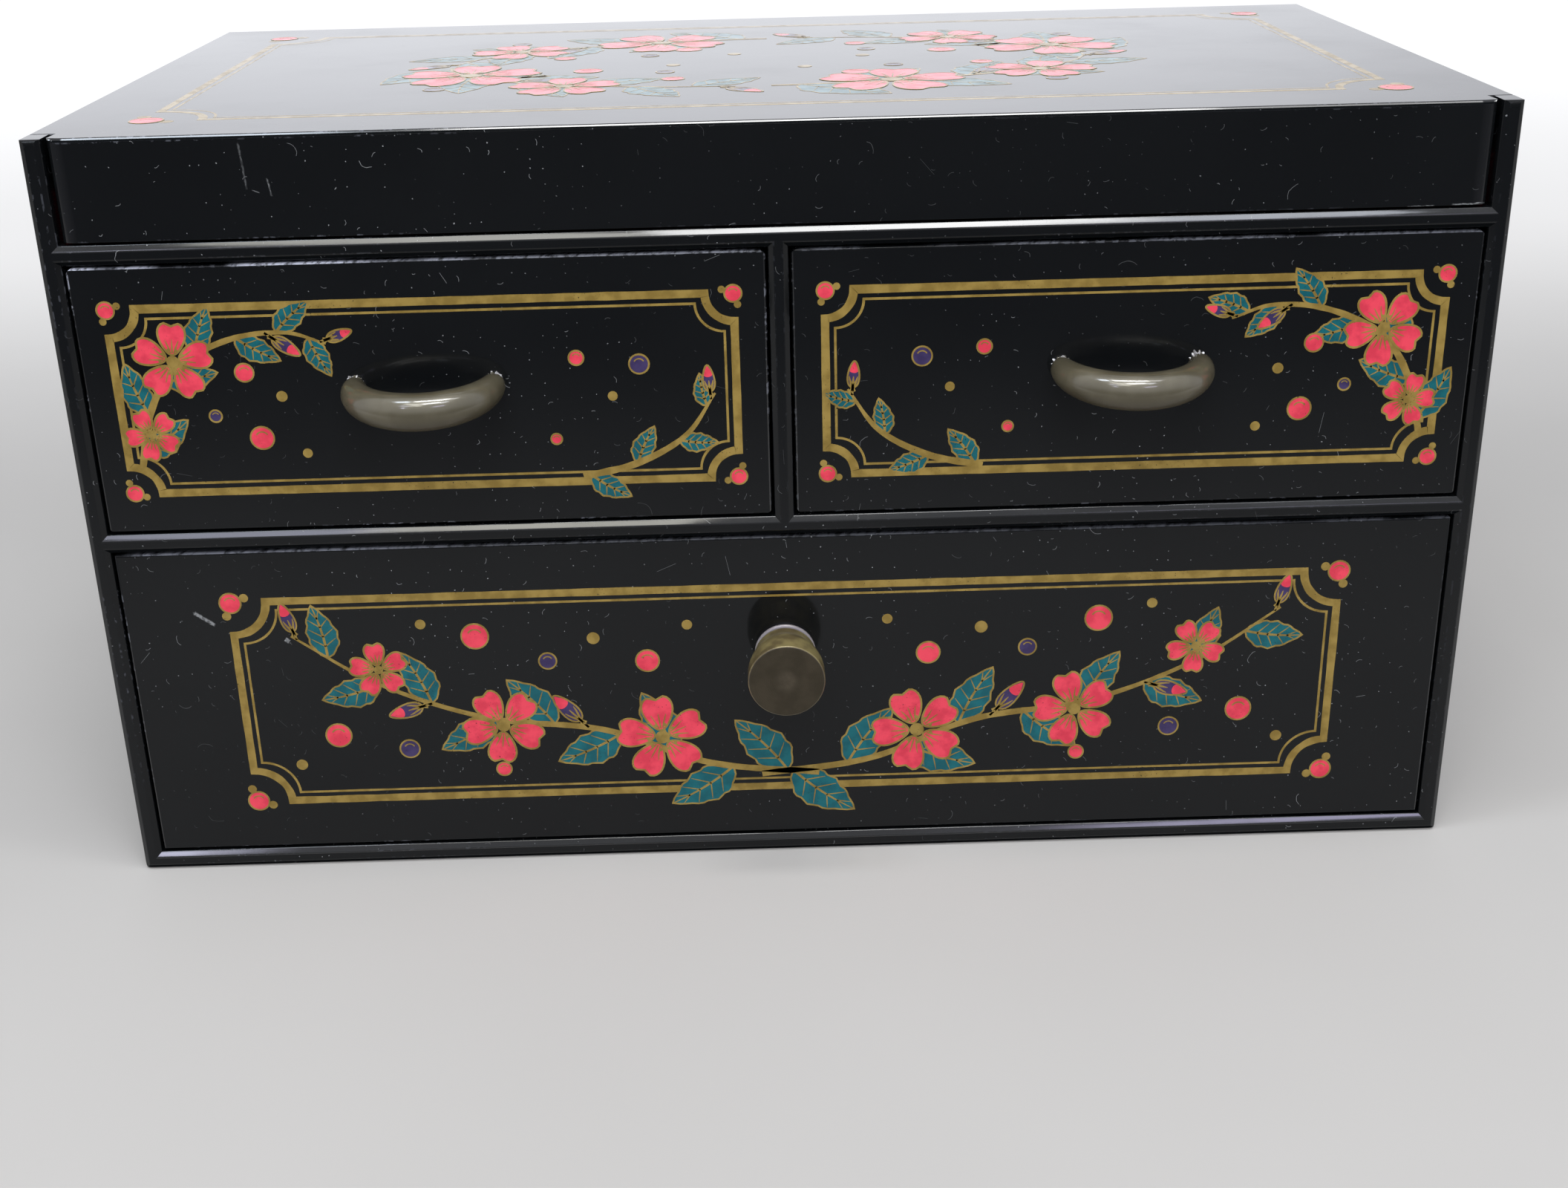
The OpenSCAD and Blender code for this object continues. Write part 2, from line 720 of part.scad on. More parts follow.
side_left();
side_right();
back_panel();
base_panel();
middle_shelf();
upper_shelf();
drawer_divider();
tray_lining();
tray_front_wall();
tray_back_wall();
ring_divider();
tray_divider();
ring_rolls();
hinge_leaf(-1, -1);  // hinge_case_leaf_left
hinge_leaf(1, -1);  // hinge_case_leaf_right
hinge_pin(-1);  // hinge_pin_left
hinge_pin(1);  // hinge_pin_right
hinge_screws(-1);  // hinge_case_screws
lid_top();
lid_fascia();
lid_rear_rim();
lid_lining();
lid_mirror();
mirror_frame();
hinge_leaf(-1, 1);  // hinge_lid_leaf_left
hinge_leaf(1, 1);  // hinge_lid_leaf_right
hinge_screws(1);  // hinge_lid_screws
small_drawer_front(left_drawer);  // left_drawer_front
drawer_side_left(left_drawer);  // left_drawer_side_left
drawer_side_right(left_drawer);  // left_drawer_side_right
drawer_back(left_drawer);  // left_drawer_back
drawer_bottom(left_drawer);  // left_drawer_bottom
drawer_lining(left_drawer);  // left_drawer_lining
pull(left_drawer);  // left_pull
pull_nuts(left_drawer);  // left_pull_nuts
small_drawer_front(right_drawer);  // right_drawer_front
drawer_side_left(right_drawer);  // right_drawer_side_left
drawer_side_right(right_drawer);  // right_drawer_side_right
drawer_back(right_drawer);  // right_drawer_back
drawer_bottom(right_drawer);  // right_drawer_bottom
drawer_lining(right_drawer);  // right_drawer_lining
pull(right_drawer);  // right_pull
pull_nuts(right_drawer);  // right_pull_nuts
wide_drawer_front();  // lower_drawer_front
drawer_side_left(lower_drawer);  // lower_drawer_side_left
drawer_side_right(lower_drawer);  // lower_drawer_side_right
drawer_back(lower_drawer);  // lower_drawer_back
drawer_bottom(lower_drawer);  // lower_drawer_bottom
drawer_lining(lower_drawer);  // lower_drawer_lining
knob();
knob_screw();
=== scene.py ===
"""Looks of a black-lacquered jewellery box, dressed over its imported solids. Lengths are in metres."""
import json
import math

import bmesh
import bpy
from mathutils import Matrix, Vector, noise


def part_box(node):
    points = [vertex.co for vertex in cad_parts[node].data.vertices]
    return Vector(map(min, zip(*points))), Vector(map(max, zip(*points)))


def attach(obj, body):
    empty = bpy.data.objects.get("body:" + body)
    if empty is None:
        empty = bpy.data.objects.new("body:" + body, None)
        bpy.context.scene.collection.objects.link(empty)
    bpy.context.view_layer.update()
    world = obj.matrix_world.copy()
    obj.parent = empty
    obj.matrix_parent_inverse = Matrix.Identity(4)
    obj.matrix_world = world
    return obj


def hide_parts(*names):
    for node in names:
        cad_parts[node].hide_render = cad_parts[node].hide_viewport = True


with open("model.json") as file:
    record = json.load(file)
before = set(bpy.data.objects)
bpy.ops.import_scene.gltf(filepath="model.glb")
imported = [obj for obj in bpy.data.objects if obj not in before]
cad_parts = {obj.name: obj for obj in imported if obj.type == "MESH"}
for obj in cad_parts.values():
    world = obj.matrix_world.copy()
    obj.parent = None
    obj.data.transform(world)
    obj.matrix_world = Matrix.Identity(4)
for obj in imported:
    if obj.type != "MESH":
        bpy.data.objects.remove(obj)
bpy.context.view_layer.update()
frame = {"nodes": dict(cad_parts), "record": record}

MM = 0.001
RECORD = frame["record"]
BODY_OF = {node: body for body, nodes in RECORD["behaviour"]["bodies"].items() for node in nodes}
UPPER_DRAWERS = ("left_drawer", "right_drawer")
DRAWERS = UPPER_DRAWERS + ("lower_drawer",)


# Shader helpers

class Nodes:
    """A node tree, with short calls for what the finishes and the world share."""

    def __init__(self, tree):
        self.tree = tree
        self.coords = self.node("TexCoord").outputs

    def node(self, kind, inputs=None, **settings):
        """Adds a node; inputs maps sockets to values or to other nodes' outputs."""
        made = self.tree.nodes.new("ShaderNode" + kind)
        for name, value in settings.items():
            setattr(made, name, value)
        for key, value in (inputs or {}).items():
            if isinstance(value, bpy.types.NodeSocket):
                self.tree.links.new(value, made.inputs[key])
            else:
                made.inputs[key].default_value = value
        return made

    def math(self, operation, a, b=0.0):
        return self.node("Math", {0: a, 1: b}, operation=operation).outputs[0]

    def times(self, a, b):
        return self.math("MULTIPLY", a, b)

    def vector(self, operation, a, b=(0.0, 0.0, 0.0), output=0):
        return self.node("VectorMath", {0: a, 1: b}, operation=operation).outputs[output]

    def split(self, vector):
        return self.node("SeparateXYZ", {0: vector}).outputs

    def ramp(self, value, low, high, to_low=0.0, to_high=1.0):
        """Smooth step from low to high."""
        inputs = {0: value, 1: low, 2: high, 3: to_low, 4: to_high}
        return self.node("MapRange", inputs, interpolation_type="SMOOTHSTEP").outputs[0]

    def blend(self, share, a, b):
        return self.node("Mix", {0: share, 2: a, 3: b}, data_type="FLOAT").outputs[0]

    def tint(self, share, a, b):
        return self.node("Mix", {0: share, 6: a, 7: b}, data_type="RGBA").outputs[2]


class Shader(Nodes):
    """One material's nodes."""

    def __init__(self, name, constants):
        self.material = bpy.data.materials.new(name)
        self.material.use_nodes = True
        super().__init__(self.material.node_tree)
        self.surface = self.tree.nodes["Principled BSDF"]
        for socket, value in constants.items():
            self.surface.inputs[socket].default_value = value

    def drive(self, socket, value):
        self.tree.links.new(value, self.surface.inputs[socket])

    def painted(self, name):
        """A value kept on the mesh itself."""
        return self.node("Attribute", attribute_name=name).outputs["Fac"]

    def noise(self, size, detail=2.0, vector=None, rough=0.5):
        """Cloudy noise whose features are about the given size."""
        inputs = {"Vector": vector or self.coords["Object"], "Scale": 1 / size, "Detail": detail,
                  "Roughness": rough}
        return self.node("TexNoise", inputs).outputs[0]

    def stretched(self, factors):
        """The object's coordinates, scaled per axis."""
        inputs = {"Vector": self.coords["Object"], "Scale": factors}
        return self.node("Mapping", inputs).outputs[0]

    def bump(self, height, distance, strength=1.0):
        inputs = {"Height": height, "Distance": distance, "Strength": strength}
        self.drive("Normal", self.node("Bump", inputs).outputs[0])

    def plane(self):
        """Place within the plane that the surface lies in, so that marks aren't stretched."""
        place, facing = self.split(self.coords["Object"]), self.split(self.coords["Normal"])
        on_side = self.math("GREATER_THAN", self.math("ABSOLUTE", facing[0]), 0.7)
        on_top = self.math("GREATER_THAN", self.math("ABSOLUTE", facing[2]), 0.7)
        u = self.blend(on_side, place[0], place[1])
        v = self.blend(on_top, place[2], place[1])
        return self.node("CombineXYZ", {0: u, 1: v}).outputs[0]

    def scattered(self, plane, spacing):
        """One random spot per cell: the offset from it, its length, and three random numbers."""
        cells = self.node("TexVoronoi", {"Vector": plane, "Scale": 1 / spacing}, voronoi_dimensions="2D")
        offset = self.vector("SUBTRACT", plane, cells.outputs["Position"])
        reach = self.vector("LENGTH", offset, output="Value")
        chance = self.node("SeparateColor", {0: cells.outputs["Color"]}).outputs
        return self.split(offset), reach, chance

    def warped(self, plane, size, amount):
        """The same place, shifted a little at random, so that marks come out irregular."""
        drift = self.node("TexNoise", {"Vector": plane, "Scale": 1 / size, "Detail": 1.0}).outputs["Color"]
        inputs = {0: drift, 1: (amount, amount, 0.0), 2: plane}
        return self.node("VectorMath", inputs, operation="MULTIPLY_ADD").outputs[0]

    def stroke(self, plane, start, end, width):
        """One straight mark between two points of the plane."""
        start, end = Vector((*start, 0.0)), Vector((*end, 0.0))
        along = (end - start).normalized()
        across = Vector((-along.y, along.x, 0.0))
        rel = self.vector("SUBTRACT", plane, start)
        far, off = (self.vector("DOT_PRODUCT", rel, way, "Value") for way in (along, across))
        half = (end - start).length / 2
        inside = self.ramp(self.math("ABSOLUTE", self.math("SUBTRACT", far, half)), half, 0.8 * half)
        return self.times(self.ramp(self.math("ABSOLUTE", off), width, 0.3 * width), inside)

    def specks(self, plane, spacing, share, radius):
        """Round grains of dust."""
        _, reach, chance = self.scattered(plane, spacing)
        size = self.times(chance[1], radius)
        grain = self.math("LESS_THAN", reach, size)
        return self.times(grain, self.math("LESS_THAN", chance[0], share))

    def fibres(self, plane, spacing, share, radius, width, spread):
        """Hairs of lint: arcs of random size and heading; spread is the cosine of half their turn."""
        offset, reach, chance = self.scattered(plane, spacing)
        curl = self.times(self.math("ADD", chance[1], 0.35), radius)
        gap = self.math("ABSOLUTE", self.math("SUBTRACT", reach, curl))
        heading = self.times(chance[2], 2 * math.pi)
        turn = self.math("SUBTRACT", self.math("ARCTAN2", offset[1], offset[0]), heading)
        arc = self.math("GREATER_THAN", self.math("COSINE", turn), spread)
        hair = self.times(self.ramp(gap, width, 0.0), arc)
        return self.times(hair, self.math("LESS_THAN", chance[0], share))

    def scratches(self, plane, spacing, share, length, width):
        """Short straight scratches at random headings."""
        offset, _, chance = self.scattered(plane, spacing)
        heading = self.times(chance[2], math.pi)
        c, s = self.math("COSINE", heading), self.math("SINE", heading)
        along = self.math("ADD", self.times(offset[0], c), self.times(offset[1], s))
        across = self.math("SUBTRACT", self.times(offset[1], c), self.times(offset[0], s))
        reach = self.times(chance[1], length)
        inside = self.math("LESS_THAN", self.math("ABSOLUTE", along), reach)
        line = self.times(self.ramp(self.math("ABSOLUTE", across), width, 0.0), inside)
        return self.times(line, self.math("LESS_THAN", chance[0], share))


# Finishes

FRONT_MARKS = (
    # start and end of each mark across and up the front, in millimetres, and its half-width and strength
    ((-81.8, 127.0), (-81.3, 119.6), 0.20, 0.16),
    ((-78.1, 121.4), (-77.6, 118.5), 0.16, 0.34),
    ((-80.6, 119.6), (-79.4, 119.1), 0.10, 0.30),
    ((-99.6, 49.2), (-96.2, 46.7), 0.40, 0.55),
    ((-84.9, 43.9), (-84.2, 43.3), 0.45, 1.00),
    ((98.5, 112.15), (103.0, 112.2), 0.10, 0.30),
    ((105.5, 112.25), (111.0, 112.35), 0.16, 0.45),
)


def make_lacquer(name, marks=()):
    """Black gloss lacquer with lint, dust, hairline scratches and worn edges."""
    s = Shader(name, {"IOR": 1.5})
    plane = s.plane()
    loose = s.warped(plane, 1.2 * MM, 0.5 * MM)
    cloud = s.noise(30 * MM, 3.0)
    black = s.tint(cloud, (0.0036, 0.0042, 0.0050, 1), (0.0068, 0.0078, 0.0088, 1))
    fine = s.fibres(loose, 3.4 * MM, 0.24, 0.62 * MM, 0.05 * MM, 0.74)
    long = s.fibres(loose, 13 * MM, 0.34, 1.5 * MM, 0.055 * MM, 0.62)
    grains = s.specks(loose, 2.0 * MM, 0.40, 0.10 * MM)
    lines = s.scratches(plane, 11 * MM, 0.22, 1.8 * MM, 0.04 * MM)
    patch = s.ramp(s.noise(34 * MM, 2.0), 0.40, 0.64, 0.18, 1.0)
    dust = s.math("MAXIMUM", s.math("MAXIMUM", fine, long), s.math("MAXIMUM", grains, lines))
    dust = s.times(s.times(dust, patch), 0.60)
    on_front = s.math("LESS_THAN", s.split(s.coords["Normal"])[1], -0.7)
    crumbly = s.ramp(s.noise(0.5 * MM, 3.0), 0.38, 0.55, 0.35, 1.0)
    for start, end, width, strength in marks:
        ends = [[c * MM for c in p] for p in (start, end)]
        mark = s.times(s.stroke(s.warped(plane, 0.7 * MM, 0.25 * MM), *ends, width * MM), on_front)
        dust = s.math("MAXIMUM", dust, s.times(s.times(mark, crumbly), strength))
    colour = s.tint(dust, black, (0.46, 0.48, 0.50, 1))
    edge = s.painted("edge")
    nicks = s.ramp(s.noise(1.1 * MM, 3.0), 0.53, 0.64)
    stretches = s.ramp(s.noise(24 * MM, 2.0), 0.44, 0.62)
    worn = s.times(edge, s.times(nicks, stretches))
    rub = s.painted("rub")
    slanted = s.node("VectorRotate", {"Vector": s.coords["Object"], "Angle": math.radians(-62)},
                     rotation_type="Z_AXIS").outputs[0]
    streaks = s.vector("MULTIPLY", slanted, (0.22, 1.0, 1.0))
    breaks = s.ramp(s.noise(0.8 * MM, 4.0, streaks, 0.65), 0.36, 0.56, 0.12, 0.85)
    rubbed = s.times(s.times(rub, breaks), s.ramp(s.noise(15 * MM, 2.0), 0.32, 0.50))
    across, depth, _ = s.split(s.coords["Object"])
    # Only the fronts' upper edges are rubbed, and most of all towards the left
    rubbed = s.times(rubbed, s.ramp(depth, -62.6 * MM, -64.4 * MM))
    worn = s.times(s.math("MAXIMUM", worn, rubbed), s.ramp(across, -40 * MM, -75 * MM, 0.35, 1.0))
    s.drive("Base Color", s.tint(worn, colour, (0.66, 0.70, 0.84, 1)))
    smudge = s.ramp(s.noise(24 * MM, 4.0), 0.35, 0.75, 0.07, 0.15)
    s.drive("Roughness", s.blend(s.math("MAXIMUM", worn, dust), smudge, 0.5))
    shine = s.painted("shine")
    s.drive("Specular IOR Level", s.math("ADD", s.times(shine, 0.74), 0.26))
    s.bump(s.noise(5 * MM, 2.0), 0.02 * MM, 0.25)
    return s.material


def make_satin_black():
    """Satin black paint over wood, with the grain just showing."""
    s = Shader("satin_black", {"Specular IOR Level": 0.4})
    grain = s.noise(1.6 * MM, 4.0, s.stretched((1.0, 0.06, 1.0)))
    cloud = s.noise(25 * MM, 3.0)
    s.drive("Base Color", s.tint(s.times(grain, cloud), (0.007, 0.007, 0.0075, 1),
                                 (0.030, 0.028, 0.027, 1)))
    s.drive("Roughness", s.ramp(cloud, 0.3, 0.7, 0.34, 0.5))
    s.bump(grain, 0.06 * MM, 0.6)
    return s.material


def make_bronze():
    """Bronzed brass: olive brown with lighter rubbed patches and painted shade underneath; at the feet a
    ragged pale colour stands for bare metal and for painted glints.
    """
    s = Shader("bronze", {"Metallic": 0.35, "Coat IOR": 1.9, "Coat Roughness": 0.13})
    cloud = s.noise(4.5 * MM, 4.0)
    tone = s.tint(s.ramp(cloud, 0.36, 0.68), (0.114, 0.100, 0.062, 1), (0.152, 0.135, 0.088, 1))
    rise = s.split(s.coords["Normal"])[2]
    # Painted shade: the underside is darkened as if the light falls from above
    tone = s.tint(s.ramp(rise, 0.35, -0.7, 0.0, 0.62), tone, (0.045, 0.038, 0.024, 1))
    s.drive("Coat Weight", s.ramp(rise, -0.15, 0.25, 0.12, 1.0))
    # Painted glint and bare metal: where marked at the feet the colour turns pale
    bare = s.painted("edge")
    bits = s.ramp(s.noise(0.7 * MM, 3.0), 0.40, 0.56)
    s.drive("Base Color", s.tint(s.times(bare, bits), tone, (0.78, 0.78, 0.82, 1)))
    s.drive("Roughness", s.ramp(s.noise(2.2 * MM, 4.0), 0.3, 0.7, 0.38, 0.48))
    s.bump(s.noise(0.7 * MM, 3.0), 0.01 * MM, 0.4)
    return s.material


def make_turned_bronze(axis):
    """Bronze turned on a lathe, with fine rings round the axis through the given point."""
    s = Shader("turned_bronze", {"Metallic": 0.35, "Coat Roughness": 0.14})
    spoke = s.vector("MULTIPLY", s.vector("SUBTRACT", s.coords["Object"], axis), (1.0, 0.0, 1.0))
    radius = s.vector("LENGTH", spoke, output="Value")
    rings = s.math("SINE", s.times(radius, 2 * math.pi / (0.32 * MM)))
    on_face = s.ramp(s.split(s.coords["Normal"])[1], -0.6, -0.9)
    cloud = s.ramp(s.noise(3.0 * MM, 4.0), 0.34, 0.66)
    flank = s.tint(cloud, (0.165, 0.128, 0.062, 1), (0.330, 0.275, 0.120, 1))
    centre_rub = s.times(s.ramp(radius, 2.6 * MM, 0.4 * MM), s.noise(1.2 * MM, 3.0))
    face = s.tint(cloud, (0.044, 0.036, 0.023, 1), (0.058, 0.047, 0.031, 1))
    face = s.tint(centre_rub, face, (0.105, 0.086, 0.062, 1))
    s.drive("Coat Weight", s.blend(on_face, 0.3, 0.05))
    s.drive("Specular IOR Level", s.blend(on_face, 0.5, 0.2))
    tone = s.tint(on_face, flank, face)
    # Painted reflection: the marked bead, and faintly the lip, turn pale lavender
    painted_sheen = s.painted("edge")
    s.drive("Base Color", s.tint(painted_sheen, tone, (0.40, 0.38, 0.44, 1)))
    s.drive("Roughness", s.blend(on_face, 0.40, 0.55))
    s.bump(rings, 0.004 * MM, 0.6)
    return s.material


def make_brass():
    """Satin brass with rub marks and a little tarnish."""
    s = Shader("satin_brass", {"Metallic": 1.0})
    tarnish = s.ramp(s.noise(3 * MM, 4.0), 0.45, 0.72)
    s.drive("Base Color", s.tint(tarnish, (0.50, 0.36, 0.14, 1), (0.35, 0.24, 0.10, 1)))
    rubs = s.noise(0.5 * MM, 3.0, s.stretched((0.08, 1.0, 1.0)))
    s.drive("Roughness", s.ramp(rubs, 0.3, 0.7, 0.22, 0.42))
    s.bump(rubs, 0.008 * MM, 0.6)
    return s.material


def make_velvet():
    """Deep red velvet: a short pile with brushed and crushed patches."""
    constants = {"Sheen Weight": 0.8, "Sheen Roughness": 0.35, "Sheen Tint": (0.95, 0.35, 0.40, 1),
                 "Specular IOR Level": 0.1}
    s = Shader("red_velvet", constants)
    crush = s.ramp(s.noise(9 * MM, 4.0, s.stretched((1.0, 0.6, 1.0))), 0.36, 0.66)
    pile = s.noise(0.35 * MM, 3.0)
    tone = s.tint(crush, (0.085, 0.006, 0.013, 1), (0.170, 0.013, 0.026, 1))
    s.drive("Base Color", s.tint(s.ramp(pile, 0.3, 0.7), tone, (0.058, 0.004, 0.009, 1)))
    s.drive("Roughness", s.ramp(pile, 0.3, 0.7, 0.82, 1.0))
    s.bump(s.math("ADD", pile, s.times(crush, 0.5)), 0.18 * MM, 0.8)
    return s.material


def make_mirror():
    """Silvered glass with faint smears and a few foxed spots."""
    s = Shader("mirror_glass", {"Metallic": 1.0})
    smear = s.ramp(s.noise(35 * MM, 4.0), 0.45, 0.75)
    spots = s.specks(s.plane(), 18 * MM, 0.25, 0.7 * MM)
    clear = s.tint(smear, (0.83, 0.87, 0.88, 1), (0.76, 0.80, 0.80, 1))
    s.drive("Base Color", s.tint(spots, clear, (0.20, 0.19, 0.17, 1)))
    s.drive("Roughness", s.ramp(smear, 0.0, 1.0, 0.015, 0.06))
    return s.material


def make_ink(name, dark, light, roughness):
    """Printed ink, a little uneven, rubbed through in places."""
    s = Shader(name, {"Specular IOR Level": 0.22, "IOR": 1.5})
    cover = s.ramp(s.noise(2.4 * MM, 4.0), 0.35, 0.65)
    ink = s.tint(cover, dark, light)
    pits = s.ramp(s.noise(0.35 * MM, 2.0), 0.66, 0.72)
    rubbed = s.times(pits, s.ramp(s.noise(14 * MM, 2.0), 0.48, 0.62))
    s.drive("Base Color", s.tint(rubbed, ink, (0.012, 0.012, 0.012, 1)))
    s.drive("Roughness", s.ramp(cover, 0.0, 1.0, roughness + 0.08, roughness))
    s.bump(s.noise(0.5 * MM, 2.0), 0.006 * MM, 0.5)
    return s.material


LACQUER = make_lacquer("black_lacquer")
FRONT_LACQUER = make_lacquer("front_lacquer", FRONT_MARKS)
SATIN = make_satin_black()
BRONZE = make_bronze()
BRASS = make_brass()
VELVET = make_velvet()
MIRROR = make_mirror()
INKS = {
    "gold": make_ink("gold_ink", (0.235, 0.158, 0.036, 1), (0.340, 0.236, 0.062, 1), 0.16),
    "coral": make_ink("coral_ink", (0.70, 0.045, 0.085, 1), (0.88, 0.072, 0.120, 1), 0.12),
    "teal": make_ink("teal_ink", (0.0075, 0.100, 0.125, 1), (0.0100, 0.140, 0.168, 1), 0.12),
    "violet": make_ink("violet_ink", (0.040, 0.028, 0.092, 1), (0.060, 0.044, 0.130, 1), 0.12),
}


# Mesh helpers

SHARP = math.radians(30)
CREASE = math.radians(42)
FLAT = math.radians(0.5)
WELD = 0.001 * MM
LONG_EDGE = 3 * MM
RUB_REACH = 0.4 * MM
DULL = -0.35  # takes the lacquer's gloss down to nothing


def add_object(name, data):
    made = bpy.data.objects.new(name, data)
    bpy.context.scene.collection.objects.link(made)
    return made


def add_piece(name, bm, body, material, nodes=()):
    """Turns a mesh under construction into a piece that rides on a body."""
    bm.normal_update()
    for face in bm.faces:
        face.smooth = True
    for edge in bm.edges:
        edge.smooth = not edge.is_manifold or edge.calc_face_angle() < CREASE
    mesh = bpy.data.meshes.new(name)
    bm.to_mesh(mesh)
    bm.free()
    mesh.materials.append(material)
    made = add_object(name, mesh)
    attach(made, body)
    if nodes:
        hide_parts(*nodes)
    return made


def add_outward(name, bm, body, material, nodes=()):
    """A piece whose faces are first turned outwards."""
    bmesh.ops.recalc_face_normals(bm, faces=bm.faces)
    return add_piece(name, bm, body, material, nodes)


def close_bores(bm):
    """Fills holes drilled along Y, which screws and studs hide: their walls are finely curved and concave."""
    walls = set()
    for edge in bm.edges:
        if edge.is_manifold and math.radians(2) < -edge.calc_face_angle_signed() < SHARP:
            walls.update(f for f in edge.link_faces if abs(f.normal.y) < 0.01)
    bmesh.ops.delete(bm, geom=list(walls), context="FACES")
    floors = [f for f in bm.faces if all(e.is_boundary for e in f.edges)]
    bmesh.ops.delete(bm, geom=floors, context="FACES")
    bmesh.ops.holes_fill(bm, edges=[e for e in bm.edges if e.is_boundary], sides=0)
    bmesh.ops.dissolve_limit(bm, angle_limit=FLAT, verts=bm.verts, edges=bm.edges)


def long_corner(edge):
    return edge.calc_length() > LONG_EDGE


def rounded_copy(node, width, material, pick=None, wear=1.0, bores=False, rub=0.0, shape=None):
    """A copy of a solid, standing for it, with its outer corners, or those that pick takes, rounded by width.

    The rounded corners, and on a rubbed board all faces that lie aslant, are worn as far as wear says; rub
    is how far the upper face is rubbed bare. Where given, shape changes the form after that.
    """
    bm = bmesh.new()
    bm.from_mesh(frame["nodes"][node].data)
    bmesh.ops.remove_doubles(bm, verts=bm.verts, dist=WELD)
    bmesh.ops.dissolve_limit(bm, angle_limit=FLAT, verts=bm.verts, edges=bm.edges)
    if bores:
        close_bores(bm)
    worn, rubbed = (bm.faces.layers.float.new(n) for n in ("edge", "rub"))
    shiny = bm.loops.layers.float.new("shine")
    top = max(v.co.z for v in bm.verts)
    for face in bm.faces:
        slope = face.normal
        if slope.z > 0.3 and face.calc_center_median().z > top - RUB_REACH:
            face[rubbed] = rub
        if rub and max(abs(c) for c in slope) < 0.98:
            face[worn] = wear
        # Bevels of the front edges: those that face up gleam, the others are dull
        if slope.y < -0.4 and abs(slope.z) > 0.4 and (material is LACQUER or node == "lid_fascia"):
            for corner in face.loops:
                corner[shiny] = 1.0 if slope.z > 0 and material is LACQUER else DULL
        # Upright corners of the fronts gleam too
        if -0.98 < slope.y < -0.2 and abs(slope.z) < 0.1 and material is FRONT_LACQUER:
            for corner in face.loops:
                corner[shiny] = 1.0
    if width:
        corners = [e for e in bm.edges
                   if e.is_manifold and e.calc_face_angle_signed() > SHARP and (not pick or pick(e))]
        made = bmesh.ops.bevel(bm, geom=corners, offset=width, offset_type="OFFSET", segments=3,
                               profile=0.5, affect="EDGES", clamp_overlap=False)
        for face in made["faces"]:
            face[worn] = wear
            for corner in face.loops:
                corner[shiny] = 1.0 if face.normal.z > 0.1 and material is LACQUER else 0.0
    if shape:
        shape(bm)
    piece = add_piece(node + "_finished", bm, BODY_OF[node], material, [node])
    # Broad faces stay flat in shading where they meet rounded edges
    fair = piece.modifiers.new("fair_flats", "WEIGHTED_NORMAL")
    fair.keep_sharp = True


def smooth_copy(node, material):
    """A copy of a solid as it is, with its curves shaded smooth, standing for it."""
    bm = bmesh.new()
    bm.from_mesh(frame["nodes"][node].data)
    bmesh.ops.remove_doubles(bm, verts=bm.verts, dist=WELD)
    add_piece(node + "_finished", bm, BODY_OF[node], material, [node])


def ring_faces(bm, lower, upper):
    """Joins two closed rings of points with faces, and gives these."""
    made = []
    for i in range(len(lower)):
        j = (i + 1) % len(lower)
        made.append(bm.faces.new((lower[i], lower[j], upper[j], upper[i])))
    return made


def tube(bm, rings, closed=False):
    """Joins rings of points in turn, with flat ends unless it closes on itself, and gives the faces."""
    made = []
    for lower, upper in zip(rings, rings[1:] + rings[:1] if closed else rings[1:]):
        made += ring_faces(bm, lower, upper)
    if not closed:
        made += [bm.faces.new(rings[0][::-1]), bm.faces.new(rings[-1])]
    return made


def circle(sides):
    """Angles that share out a full turn."""
    return [2 * math.pi * k / sides for k in range(sides)]


def revolve(bm, profile, origin, sides=96):
    """Turns a profile of (radius, distance) pairs, from 0 to 0, round the -Y axis through origin."""
    rings = []
    for radius, distance in profile[1:-1]:
        rings.append([bm.verts.new(origin + Vector((radius * math.cos(a), -distance, radius * math.sin(a))))
                      for a in circle(sides)])
    for lower, upper in zip(rings, rings[1:]):
        ring_faces(bm, lower, upper)
    for ring, (_, distance) in ((rings[0][::-1], profile[0]), (rings[-1], profile[-1])):
        tip = bm.verts.new(origin - Vector((0, distance, 0)))
        for i in range(sides):
            bm.faces.new((ring[i], ring[(i + 1) % sides], tip))


def arc(centre, radius, start, end, steps):
    """Points of an arc in a plane, from one angle in degrees to another."""
    angles = [math.radians(start + (end - start) * i / steps) for i in range(steps + 1)]
    return [(centre[0] + radius * math.cos(a), centre[1] + radius * math.sin(a)) for a in angles]


def mitred(points, closed, least=0.0):
    """For each point of a flat path, the step to a path beside it; least bounds the sharpness of turns."""
    steps = []
    last = len(points) - 1
    for i, point in enumerate(points):
        before = points[i - 1] if closed or i else None
        after = points[(i + 1) % len(points)] if closed or i < last else None
        headings = [(b - a).normalized() for a, b in ((before, point), (point, after)) if a and b]
        sides = [Vector((-h.y, h.x)) for h in headings]
        mitre = sum(sides, Vector((0, 0))).normalized()
        steps.append(mitre / max(least, mitre.dot(sides[0])))
    return steps


def sweep(bm, path, profile, closed):
    """Carries a profile of (offset, height) pairs along a level path of (x, y) points, with mitred turns."""
    points = [Vector(p) for p in path]
    tube(bm, [[bm.verts.new((*(point + step * offset), z)) for offset, z in profile]
              for point, step in zip(points, mitred(points, closed))], closed)


def quarter_round(distance, radius):
    """Height of a quarter round at a distance from its edge, as a share of the full height."""
    return math.sqrt(max(0.0, 1 - (1 - min(1.0, distance / radius)) ** 2))


def fine_noise(place, size):
    """Smooth noise between about -1 and 1, repeated exactly on every run."""
    return noise.noise(Vector(place) / size)


# Lacquered boards

CASE_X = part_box("side_right")[1].x
RIDGE_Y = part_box("middle_shelf")[0].y


